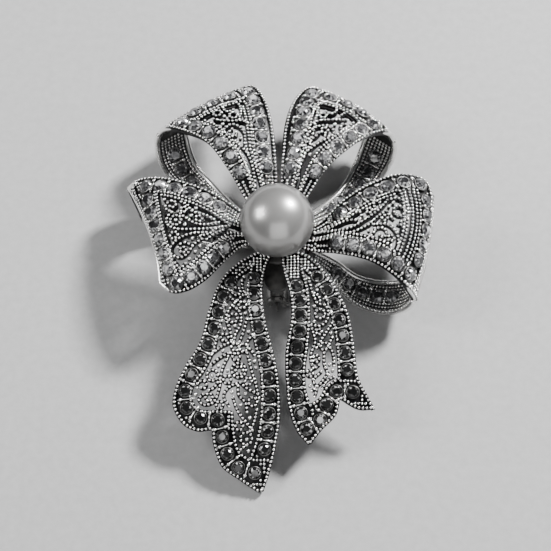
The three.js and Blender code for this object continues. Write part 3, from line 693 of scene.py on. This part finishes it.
SCROLLS = {
    "right": [
        [(5.6, -0.1), (8, -0.3), (10.1, -0.2), (12.1, 0.9), (13.9, 2.3), (15, 3.8)],
        [(7.5, -0.9), (9.4, -1), (10.8, -0.7), (12.4, 0), (13.8, 1.3), (14.8, 2)],
        [(13, 0), (14.9, 0), (15.8, -0.7), (16.3, -1.7), (16.2, -3)],
        [(15, 3.8), (16.2, 4.2), (17.3, 3.8), (17.9, 2.7), (17.6, 1.4), (16.7, 0.6)],
        Curl(14.1, -1.3, 0.95, 150, -300, 0.35),
        [(7.6, 0.6), (9, 0.8), (10.2, 0.9), (11.2, 0.6)],
        [(9.6, 1.5), (10.2, 2.2), (11, 2.3), (11.5, 1.6), (11.3, 0.9)],
        [(13.3, 2.2), (13.2, 3.2), (13.2, 4.2)],
        [(14, 2.8), (13.9, 3.7), (13.9, 4.4)],
        [(12.3, -1.9), (13, -1.3), (13.2, -0.6), (13.1, 0)],
        [(16.2, 0.2), (16.9, 0), (17.4, -0.5)],
        [(15.9, 0.8), (15.2, 1.3), (14.8, 2)],
        Ring(16.5, 2.2, 0.75),
    ],
    "left": [
        [(-6.6, 0.7), (-8.5, 0), (-10.6, -0.4), (-13.6, -0.3), (-14.7, 0.6), (-14.8, 1.6), (-14.2, 2.3)],
        Curl(-14.2, 3.5, 0.95, 250, -400, 0.3),
        [(-8, 0.9), (-10.1, 0.3), (-11.6, 0.7), (-12.7, 1.6), (-13.4, 2.3)],
        [(-8.6, 1.3), (-10, 1.9), (-11.5, 2.3), (-12.2, 3.3), (-13, 3.9)],
        [(-9.6, -0.8), (-11.6, -1.1), (-13.4, -1.9), (-14.3, -3), (-13.9, -4), (-12.9, -4.4), (-12, -3.8),
         (-11.3, -2.7), (-10.2, -1.8)],
        [(-13.3, -3), (-12.8, -2.4), (-12, -2.5), (-11.4, -2.9)],
        [(-9.3, -2.6), (-10.6, -4.2), (-11.6, -5.5), (-12.7, -6.3)],
        [(-7, -1), (-8.2, -1.9), (-9.4, -2.7)],
        [(-7.4, -0.1), (-8.6, -0.9), (-9.6, -1.8)],
        [(-13.6, -5), (-13, -5.8), (-12.3, -5.2)],
        [(-8.4, -0.1), (-9.2, -0.9), (-10.4, -1.4)],
    ],
    "upper_left": [
        [(-8.7, 16.9), (-7.6, 16.5), (-6.3, 16.3), (-4.8, 16.4), (-3.6, 15.8)],
        [(-5.2, 16.6), (-5, 18), (-5.2, 19.4), (-6, 20.2), (-7, 19.9), (-7.4, 18.9), (-6.8, 18.1),
         (-6, 18.5)],
        [(-7.6, 14), (-7.2, 15), (-6.3, 15.7), (-5.2, 15.4), (-4.5, 14.4), (-4.4, 12.8), (-4, 11.4)],
        Curl(-5.9, 14.3, 0.75, 110, 280, 0.3),
        [(-3.6, 7), (-3.9, 8.6), (-4.4, 10.2), (-5.4, 11.8), (-6.6, 13), (-7.6, 14)],
        [(-3, 7.2), (-3.3, 9.2), (-3.9, 11), (-4.9, 12.4)],
        [(-2.8, 9.8), (-3.2, 11.8), (-3.5, 13.6), (-3.7, 15.6)],
        [(-5.2, 12.6), (-5.8, 13.2)],
        Ring(-8.2, 18, 0.55),
    ],
    "upper_right": [
        [(3.7, 14.6), (4.6, 15.7), (5.8, 16.4), (7.6, 16.6), (9.6, 16.8)],
        [(4.2, 16.2), (5, 18), (5.8, 19.6), (6.9, 20.3), (8, 19.6), (8.2, 18.5), (7.5, 17.7), (6.7, 18.2)],
        [(3.6, 13.4), (4.4, 14.5), (5.6, 15.4), (7, 15.5), (7.8, 14.8), (7.5, 13.9), (6.6, 13.9)],
        [(3, 8), (3.1, 9.6), (3.5, 11), (4.6, 12), (5.8, 12.9), (7, 13.6)],
        [(3.1, 11.4), (3.3, 12.6), (4.2, 13.4), (5.2, 13.7), (5.8, 14.4)],
        [(8.2, 16.8), (9, 17.8), (9.6, 18.4)],
        Ring(4.3, 12.6, 0.5), Ring(9.2, 15.6, 0.5),
    ],
    "tail_left": [
        [(-4.2, -8.6), (-5.3, -9.7), (-6.4, -11), (-6.8, -12.4), (-6.3, -13.9), (-6.1, -15.4)],
        [(-5.8, -10.6), (-4.9, -11.6), (-4.9, -13.2), (-5.6, -14.6), (-5.7, -15.6)],
        [(-4, -12.4), (-4.5, -14.2), (-5, -15.6)],
        [(-8.6, -17.1), (-7.4, -16.2), (-6.1, -15.6)],
        [(-8.8, -18.7), (-7.7, -17.8), (-6.5, -17.1)],
        [(-6.3, -17.1), (-7.3, -19.3), (-7.7, -21.8), (-8.5, -23.5), (-9.8, -23.7), (-10.4, -23),
         (-9.8, -22.4)],
        Curl(-9.9, -21.3, 0.8, 200, -330, 0.35),
        [(-4.9, -21), (-6.3, -21.5), (-7.1, -22.7), (-6.4, -24)],
        [(-4.9, -21), (-3.9, -21.8), (-2.6, -22.4)],
        [(-4, -17.1), (-3.4, -19.4), (-2.8, -21.3), (-2.4, -22.9)],
        [(-5.2, -21.4), (-5.1, -22.6), (-4.2, -23.5), (-4, -24.7)],
        [(-5.9, -22.9), (-5.2, -24.6), (-4.1, -26), (-3.3, -26.9)],
        [(-2.7, -24.4), (-3.1, -26), (-3.6, -27)],
        [(-4.1, -28.7), (-4.8, -29.2)],
        [(-7.6, -20.5), (-8.4, -21.6), (-9.1, -21.9)],
        [(-6.6, -8.9), (-5.6, -9.9)],
        [(-4.7, -6.8), (-4.6, -8), (-4.2, -8.9)],
        [(-3.3, -14.6), (-4, -15.8), (-3, -17.4)],
        Ring(-5.9, -12.3, 0.62), Ring(-5.1, -19.4, 0.95), Ring(-4.1, -27.9, 0.75), Ring(-4.5, -16.4, 0.55),
        Ring(-5.6, -16.3, 0.5),
    ],
    "tail_right": [
        [(4.3, -6.4), (4.8, -8.6), (5.5, -10.2), (6.4, -10.4), (6.9, -11.4), (6.7, -12.6), (5.8, -13.4),
         (4.6, -13.3)],
        [(4.7, -13.8), (5.1, -15.5), (4.5, -17.6), (4.9, -19.2), (5.6, -18.7)],
        [(7.4, -13), (6.4, -14.6), (5.3, -16.4)],
        [(6.3, -17.1), (6.3, -18.6), (6.9, -20)],
        [(7.4, -15), (7, -16), (7.5, -17.2), (7.6, -18.8)],
        [(5.9, -19.6), (4.8, -20.7), (5.3, -21.7), (5, -22.8)],
        [(6.7, -19.9), (5.7, -21.2), (4.6, -22.1)],
        [(7.6, -20.2), (6.6, -20.8), (6, -21.8)],
        [(5, -8.7), (5.6, -9.1), (5.8, -9.8)],
        Ring(5.8, -11.7, 0.65), Ring(6.3, -16.2, 0.5), Ring(5.2, -17.9, 0.45),
    ],
}


def add_scrolls(pile, name, drop):
    for scroll in SCROLLS[name]:
        if isinstance(scroll, Ring):
            beaded(pile, drop(ring(*scroll), True))
        else:
            beaded(pile, drop(arc(*scroll) if isinstance(scroll, Curl) else drawn(scroll)))


# ------------ loops


def fan_sheet(pile, fan, panel_end):
    """The fan's floor: a channel along each side and the band over the fold, around an open panel."""
    border, inside_panel = 5, 14
    parts = (0, PANEL_START, 6), (PANEL_START, panel_end, 30), (panel_end, FOLD, 22)
    stations = np.concatenate([np.linspace(*part)[:-1] for part in parts] + [[FOLD]])
    first, second = (inset_u(fan, side, PANEL_INSET, stations)[:, None] for side in (0, 1))
    share, panel_share = np.arange(border + 1) / border, np.arange(inside_panel) / inside_panel
    u = np.hstack([first * share[:-1], first + (second - first) * panel_share, second + (1 - second) * share])
    sheet = on_surface(fan, u, stations[:, None])
    row, column = np.divmod(np.arange((len(stations) - 1) * (u.shape[1] - 1)), u.shape[1] - 1)
    in_panel = (border <= column) & (column < border + inside_panel)
    in_panel &= (PANEL_START - 1e-6 < stations[row]) & (stations[row] < panel_end - 1e-6)
    faces = grid_faces(*u.shape)[~in_panel]
    slab(pile, sheet, faces, polish=0.14)


def strip_sheet(pile, strip, end):
    """The ribbon that returns under the fan."""
    u, station = np.meshgrid(np.linspace(0, 1, 9), np.linspace(FOLD, end, 50))
    sheet = on_surface(strip, u, station)
    slab(pile, sheet, grid_faces(*u.shape), low=-0.2, high=0.35, polish=0.22)


def apart(points, others):
    """How far each point is from the nearest of the others."""
    return np.sqrt(((points[:, None] - others[None]) ** 2).sum(-1).min(1))


def add_grains(leaf, traces):
    """Small beads along traces, wherever they stand clear of the stones and of the other beads."""
    for trace in traces:
        clear = apart(trace.points, np.vstack(leaf.stones)) > STONE_R + GRAIN_CLEAR_OF_STONES
        clear &= apart(trace.points, np.vstack(leaf.beads)) > GRAIN_CLEAR_OF_BEADS
        if clear.any():
            balls(leaf, Trace(trace.points[clear], trace.normals[clear]), GRAIN_R, GRAIN_LIFT)


def fan_grain_lines(fan, crossing):
    """Lines along a fan's channels and over its fold, for grains."""
    last, pitch = crossing.last, GRAIN_PITCH["fan"]
    for inset in (0.72, 1.18, 1.64, 2.1):
        for side in (0, 1):
            yield spaced(along_fan(fan, side, inset, np.linspace(0.5, last - 0.12, 80)), pitch)
    for station in np.arange(crossing.panel + 0.22, FOLD - 0.15, 0.13):
        yield spaced(across_fan(fan, 2.4 if station < last - 0.08 else 0.4, station, 40), pitch)


def strip_grain_lines(strip, end):
    """Lines along the visible face of a strip, for grains."""
    for u in (0.17, 0.28, 0.39, 0.5, 0.61, 0.72, 0.83):
        line = on_surface(strip, u, np.linspace(FOLD + 0.7, end - 0.3, 80))
        yield spaced(Trace(line.points, -line.normals), GRAIN_PITCH["strip"])


def plan_grid(outline, step):
    low, high = outline.min(0), outline.max(0)
    return np.stack(np.meshgrid(np.arange(low[0], high[0], step), np.arange(low[1], high[1], step)),
                    -1).reshape(-1, 2)


def fill_gaps(leaf, drop, panel):
    """Puts a small ring of beads, or one bead, into each wide gap that the scrollwork leaves in a panel."""
    grid = plan_grid(panel, 0.2)
    grid = grid[inside(panel, grid)]
    room = apart(grid, np.vstack(leaf.beads)[:, :2])
    while room.max() > GAP_LEFT:
        k = room.argmax()
        centre, radius = grid[k], min(room[k] - 2 * BEAD_R, RING_R[1])
        if radius > RING_R[0]:
            beaded(leaf, drop(ring(*centre, radius), True))
        else:
            rib(leaf, drop(ring(*centre, POST_R), True), POST_WALL)
            balls(leaf, drop(centre[None]), POST_BEAD_R)
            radius = 0.1
        room = np.minimum(room, np.abs(np.linalg.norm(grid - centre, axis=1) - radius))


def make_loop(name, loop):
    fan, strip = loop_surfaces(loop)
    crossing = CROSSINGS[name]
    panel_end, extra, over_fold, last = crossing
    end = FOLD + len(loop["strip_outer"])
    leaf = Pile()
    fan_sheet(leaf, fan, panel_end)
    strip_sheet(leaf, strip, end)
    beaded(leaf, round_the_fold(fan, EDGE_LINE, start=0.35, end=last, corner=1.4))
    border = round_the_fold(fan, PANEL_INSET - BORDER_LINE, start=0.6, end=panel_end + 0.1, corner=0.5)
    beaded(leaf, border)
    for side in (0, 1):
        stations = np.linspace(PANEL_START, panel_end - PANEL_GAP, 60)
        beaded(leaf, along_fan(fan, side, PANEL_INSET + INNER_LINE, stations))
    for station in extra:
        beaded(leaf, across_fan(fan, PANEL_INSET, station, 40))
    drop = dropper(fan)
    add_scrolls(leaf, name, drop)
    fill_gaps(leaf, drop, fan_panel(fan, panel_end))

    for side, row in enumerate(("first_side", "second_side")):
        stations = np.linspace(SIDE_START, over_fold + CORNER_STATIONS, 80)
        stone_row(leaf, along_fan(fan, side, EDGE_INSET, stations), f"stones_{name}_{row}", "grey_stone")
    stone_row(leaf, across_fan(fan, FOLD_INSET, over_fold, 60), f"stones_{name}_fold", "grey_stone")
    add_grains(leaf, [*fan_grain_lines(fan, crossing), *strip_grain_lines(strip, end)])
    add_rims(leaf, fan, strip, loop["strip_side"], end, last, name == "right")
    along_strip = on_surface(strip, 0.5, np.linspace(FOLD + 1.2, end - 0.9, 80))
    stone_row(leaf, along_strip, f"stones_{name}_strip", "grey_stone", face=-1)
    leaf.piece(f"leaf_{name}", "leaf_silver", f"loop_{name}")


def fan_panel(fan, panel_end):
    """The outline of a fan's pierced panel, in plan."""
    stations = np.linspace(PANEL_START, panel_end - PANEL_GAP, 30)
    sides = [along_fan(fan, side, PANEL_INSET + INNER_LINE, stations).points[:, :2] for side in (0, 1)]
    return np.vstack([sides[0], sides[1][::-1]])


def joined(first, second):
    return Trace(np.vstack([first.points, second.points]), np.vstack([first.normals, second.normals]))


def add_rims(leaf, fan, strip, strip_side, end, last, beads):
    """Smooth half-round rims: over the end of the fold, and round it from the fan's edges to the strip's."""
    over_end = on_surface(fan, np.linspace(0, 1, 40), FOLD - 0.06)
    wire(leaf, over_end, radius=0.3, lift=0, polish=0.9)
    for side in (0, 1):
        u = 0.02 + 0.96 * side
        round_fold = on_surface(fan, u, np.linspace(last - 0.6, FOLD - 0.04, 28))
        rim = on_surface(strip, u, np.linspace(FOLD + 0.04, end, 70))
        if side == strip_side:
            rim = joined(round_fold, rim)
            if beads:
                along = spaced(rim, 0.58)
                balls(leaf, Trace(along.points, -along.normals), radius=0.26, lift=0.4)
                balls(leaf, spaced(round_fold, 0.5), radius=0.24)
        else:
            wire(leaf, round_fold, radius=0.34, lift=0.05, polish=0.85, taper=9)
        wire(leaf, rim, radius=0.42, lift=-0.02, polish=0.95, taper=9)


def stone_row(leaf, line, node, slot, radius=STONE_R, face=1):
    """Stones at even distances, half a pitch in from each end of a line."""
    length = reach_of(line.points)[-1]
    margin = length / max(1, round(length / STONE_PITCH)) / 2
    stones = Pile()
    set_stones(leaf, stones, spaced(line, 2 * margin, margin), radius, face)
    stones.piece(node.replace("stones", "crystals"), slot, node)


# ------------ tails


def tail_outline(tail):
    right = drawn(tail["right"], tail["right_corners"], 12)
    left = drawn(tail["left"], tail["left_corners"], 12)
    return np.vstack([right, left[::-1]])


def inside(outline, points):
    """Which points a closed plan polyline holds."""
    held = np.zeros(len(points), bool)
    for a, b in zip(outline, np.roll(outline, -1, 0)):
        spans = (a[1] > points[:, 1]) != (b[1] > points[:, 1])
        rise = b[1] - a[1] if abs(b[1] - a[1]) > 1e-12 else 1e-12
        held ^= spans & (points[:, 0] < a[0] + (points[:, 1] - a[1]) * (b[0] - a[0]) / rise)
    return held


def plate_faces(outline, hole, step=0.9):
    """Triangles between a closed plan outline and a hole in it."""
    grid = plan_grid(outline, step)
    keep = inside(outline, grid) & ~inside(hole, grid)
    for line in (outline, hole):
        keep &= ((grid[:, None] - line[None]) ** 2).sum(-1).min(1) > (0.4 * step) ** 2
    points = np.vstack([outline, hole, grid[keep]])
    edges = []
    for start, line in ((0, outline), (len(outline), hole)):
        count = len(line)
        edges += [(start + k, start + (k + 1) % count) for k in range(count)]
    made = delaunay_2d_cdt([Vector(point) for point in points], edges, [], 0, 1e-5)
    points = np.array([tuple(point) for point in made[0]])
    faces = np.array(made[2])
    centres = points[faces].mean(1)
    faces = faces[inside(outline, centres) & ~inside(hole, centres)]
    return points, faces


def make_tail(name, tail):
    drop = tail_dropper(tail)
    outline = tail_outline(tail)
    panel = loop_line(tail["panel"], tail["panel_corners"])
    leaf = Pile()
    points, faces = plate_faces(outline, panel)
    slab(leaf, drop(points), faces)
    for line, inset in ((outline, EDGE_LINE), (panel, -BORDER_LINE)):
        beaded(leaf, drop(offset_plan(line, np.sign(signed_area(line)) * inset), True))
    add_scrolls(leaf, f"tail_{name}", drop)
    fill_gaps(leaf, drop, panel)
    for row in ("outer", "inner"):
        line = drop(drawn(tail[f"{row}_stones"]))
        stone_row(leaf, line, f"stones_tail_{name}_{row}", "black_stone", BLACK_STONE_R)
    grid = plan_grid(outline, GRAIN_PITCH["tail"])
    in_channel = inside(outline, grid) & ~inside(panel, grid) & (apart(grid, outline) > 0.45)
    add_grains(leaf, [drop(grid[in_channel])])
    leaf.piece(f"leaf_tail_{name}", "leaf_silver", f"tail_{name}")


def signed_area(outline):
    x, y = outline.T
    return 0.5 * np.sum(x * np.roll(y, -1) - np.roll(x, -1) * y)


# ------------ pearl


def make_pearl():
    """A round bead with its drilled hole, from the top of the hole round to the crown."""
    hole_r, hole_top = 0.5, 7.4
    start = math.asin(hole_r / PEARL_R)
    angles = np.linspace(start, math.pi - 1e-3, 56)
    profile = [(0.001, hole_top), (hole_r, hole_top)]
    profile += [(PEARL_R * math.sin(a), PEARL_Z - PEARL_R * math.cos(a)) for a in angles]
    pile = Pile()
    pile.add(*turned(profile, 96))
    pile.piece("pearl_bead", "pearl_nacre", "pearl")


# ------------ materials


class Finish:
    """A material that is being put together round its principled shader."""

    def __init__(self, name):
        self.material = bpy.data.materials.new(name)
        self.material.use_nodes = True
        tree = self.material.node_tree
        self.nodes, self.links, self.shader = tree.nodes, tree.links, tree.nodes["Principled BSDF"]

    def feed(self, node, inputs):
        """Sets a node's inputs, or links them where another node's output is given."""
        for name, value in inputs.items():
            if isinstance(value, bpy.types.NodeSocket):
                self.links.new(value, node.inputs[name])
            else:
                node.inputs[name].default_value = value

    def add(self, kind, inputs):
        node = self.nodes.new(f"ShaderNode{kind}")
        self.feed(node, inputs)
        return node

    def shade(self, inputs):
        self.feed(self.shader, inputs)

    def noise(self, scale, detail=3, stretch=(1, 1, 1)):
        place = self.add("TexCoord", {}).outputs["Object"]
        if stretch != (1, 1, 1):
            place = self.add("Mapping", {"Scale": stretch, "Vector": place}).outputs["Vector"]
        return self.add("TexNoise", {"Scale": scale, "Detail": detail, "Vector": place}).outputs["Fac"]

    def maths(self, operation, first, second):
        node = self.add("Math", {0: first, 1: second})
        node.operation = operation
        return node.outputs["Value"]

    def cloud(self, scale, amount, detail=3):
        """Noise about zero."""
        return self.maths("MULTIPLY", self.maths("SUBTRACT", self.noise(scale, detail), 0.5), amount)

    def mapped(self, value, low, high):
        return self.add("MapRange", {"To Min": low, "To Max": high, "Value": value}).outputs["Result"]

    def attribute(self, name):
        node = self.add("Attribute", {})
        node.attribute_name = name
        return node.outputs["Fac"]

    def colour(self, value, stops):
        """Colours the shader by a value, through a ramp of places and their greys or colours."""
        tone = self.add("ValToRGB", {"Fac": value})
        elements = tone.color_ramp.elements
        while len(elements) < len(stops):
            elements.new(0.5)
        for element, (place, shade) in zip(elements, stops):
            element.position = place
            element.color = (*shade, 1) if isinstance(shade, tuple) else (shade, shade, shade, 1)
        self.shade({"Base Color": tone.outputs["Color"]})

    def bump(self, height, distance, strength):
        bump = self.add("Bump", {"Distance": distance, "Strength": strength, "Height": height})
        self.shade({"Normal": bump.outputs["Normal"]})


def antique_silver(name, rubbed):
    """Silver plate that is bright where it is rubbed and dark with patina in the recesses, and lighter on the
    tops of beads as a painted highlight.
    """
    finish = Finish(name)
    stained = finish.maths("ADD", finish.cloud(420, 0.55), rubbed)
    wear_and_highlight = finish.maths("ADD", finish.attribute("polish"), stained)
    # Greys from dark patina through rubbed wear to the painted highlight on bead tops.
    finish.colour(wear_and_highlight, [(0.0, (0.016, 0.016, 0.017)), (0.3, (0.075, 0.074, 0.073)),
                         (0.62, (0.5, 0.495, 0.485)), (0.95, (0.9, 0.895, 0.88))])
    finish.shade({"Metallic": 0.95, "Roughness": finish.mapped(wear_and_highlight, 0.5, 0.2)})
    finish.bump(finish.noise(3500), 0.00003, 0.35)
    return finish.material


def nickel():
    """Nickel plate with a fine brushed grain along its length."""
    finish = Finish("nickel")
    grain = finish.noise(6000, 2, (1, 0.06, 1))
    finish.colour(finish.noise(260), [(0.25, (0.46, 0.455, 0.445)), (0.75, (0.7, 0.695, 0.68))])
    finish.shade({"Metallic": 1.0, "Roughness": finish.mapped(grain, 0.16, 0.42)})
    finish.bump(grain, 0.00002, 0.3)
    return finish.material


def grey_crystal():
    """Foil-backed grey glass. Each face of its crown is painted its own shade, as a painted reflection of the
    light.
    """
    finish = Finish("grey_crystal")
    shade = finish.maths("ADD", finish.attribute("facet_glint"), finish.cloud(2400, 1.1))
    # Painted reflections: random greys for each face, up to near white, stand in for the sparkle.
    finish.colour(shade, [(0.0, (0.02, 0.02, 0.022)), (0.4, (0.075, 0.075, 0.078)),
                          (0.75, (0.24, 0.24, 0.245)), (1.0, 0.9)])
    finish.shade({"Metallic": 0.5, "Roughness": 0.12, "Coat Weight": 0.5, "Coat Roughness": 0.03})
    return finish.material


def black_glass():
    """Polished black glass, with a few facets painted light as painted glints."""
    finish = Finish("black_glass")
    shade = finish.maths("ADD", finish.attribute("facet_glint"), finish.cloud(700, 0.2))
    # Painted glints: the few faces with the highest tones are painted grey to light grey.
    finish.colour(shade, [(0.0, 0.003), (0.86, 0.012), (0.93, 0.2), (1.0, 0.45)])
    finish.shade({"Roughness": 0.04, "IOR": 1.62})
    return finish.material


def nacre():
    """Pearl coat: soft body colour under a clear gloss, with painted shade that darkens it towards its
    outline.
    """
    finish = Finish("nacre")
    # Painted shade: the base colour darkens where the surface turns away from the view, towards the outline.
    rim = finish.add("LayerWeight", {"Blend": 0.35}).outputs["Facing"]
    finish.colour(finish.maths("ADD", rim, finish.cloud(220, 0.25, 2)),
                  [(0.0, (0.4, 0.395, 0.385)), (0.5, (0.26, 0.256, 0.25)), (1.0, (0.08, 0.079, 0.077))])
    finish.shade({"Metallic": 0.65, "Roughness": 0.32, "Coat Weight": 0.8, "Coat Roughness": 0.1})
    finish.bump(finish.noise(500, 2), 0.00002, 0.25)
    return finish.material


def pale_card():
    """The floor's plain pale card."""
    finish = Finish("pale_card")
    finish.colour(finish.noise(900), [(0.3, 0.36), (0.7, 0.4)])
    finish.shade({"Roughness": 0.85})
    finish.bump(finish.noise(2600), 0.00004, 0.3)
    return finish.material


MATERIALS = {
    "leaf_silver": antique_silver("antique_silver", 0),
    "pin_steel": nickel(),
    "grey_stone": grey_crystal(),
    "black_stone": black_glass(),
    "pearl_nacre": nacre(),
}

# ------------ camera, floor and light

CAMERA_TARGET = Vector((-0.2, -5.45, 3.5)) * MM
CAMERA_DISTANCE = 380 * MM
CAMERA_ELEVATION = math.radians(62)
CAMERA_LENS = 183.2
FLOOR_HALF = 1.5  # metres
WORLD_STRENGTH = 0.08


def aimed(made, place, target):
    made.location = place
    made.rotation_mode = "QUATERNION"
    made.rotation_quaternion = (Vector(target) - Vector(place)).to_track_quat("-Z", "Y")
    bpy.context.scene.collection.objects.link(made)
    return made


def add_camera():
    data = bpy.data.cameras.new("camera")
    data.lens = CAMERA_LENS
    data.sensor_width = 36
    data.clip_start, data.clip_end = 0.01, 10
    back = Vector((0, -math.cos(CAMERA_ELEVATION), math.sin(CAMERA_ELEVATION)))
    place = CAMERA_TARGET + back * CAMERA_DISTANCE
    bpy.context.scene.camera = aimed(bpy.data.objects.new("camera", data), place, CAMERA_TARGET)


def add_softbox(name, place, size, power):
    """A square area light, aimed at the pearl. Its place and size are in millimetres."""
    data = bpy.data.lights.new(name, "AREA")
    data.size = size * MM
    data.energy = power
    aimed(bpy.data.objects.new(name, data), Vector(place) * MM, (0, 0, 0.005))


def add_floor():
    mesh = bpy.data.meshes.new("floor")
    corners = [(x * FLOOR_HALF, y * FLOOR_HALF, cad_low.z) for x, y in ((-1, -1), (1, -1), (1, 1), (-1, 1))]
    mesh.from_pydata(corners, [], [(0, 1, 2, 3)])
    mesh.materials.append(pale_card())
    floor = bpy.data.objects.new("floor", mesh)
    bpy.context.scene.collection.objects.link(floor)


def add_world():
    world = bpy.data.worlds.new("studio")
    world.use_nodes = True
    background = world.node_tree.nodes["Background"]
    background.inputs["Color"].default_value = (0.9, 0.92, 0.95, 1)
    background.inputs["Strength"].default_value = WORLD_STRENGTH
    bpy.context.scene.world = world


# ------------ the brooch

add_camera()
add_floor()
add_world()
add_softbox("key", (230, 190, 260), 75, 5)
add_softbox("side", (-240, 20, 200), 130, 0.8)
add_softbox("front", (30, -280, 150), 300, 0.45)

for loop_name, loop_shape in LOOPS.items():
    make_loop(loop_name, loop_shape)
for tail_name, tail_shape in TAILS.items():
    make_tail(tail_name, tail_shape)
make_pearl()

KEPT = {
    "plain_silver": ["base_plate", "pearl_cup", "pin_bar"],
    "pin_steel": ["pearl_peg", "hinge_bracket", "hinge_rivet", "pin_stem", "catch_body", "catch_lock"],
}
MATERIALS["plain_silver"] = antique_silver("plain_silver", 0.45)
for slot_name, node_names in KEPT.items():
    for node_name in node_names:
        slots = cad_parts[node_name].data.materials
        slots.clear()
        slots.append(MATERIALS[slot_name])
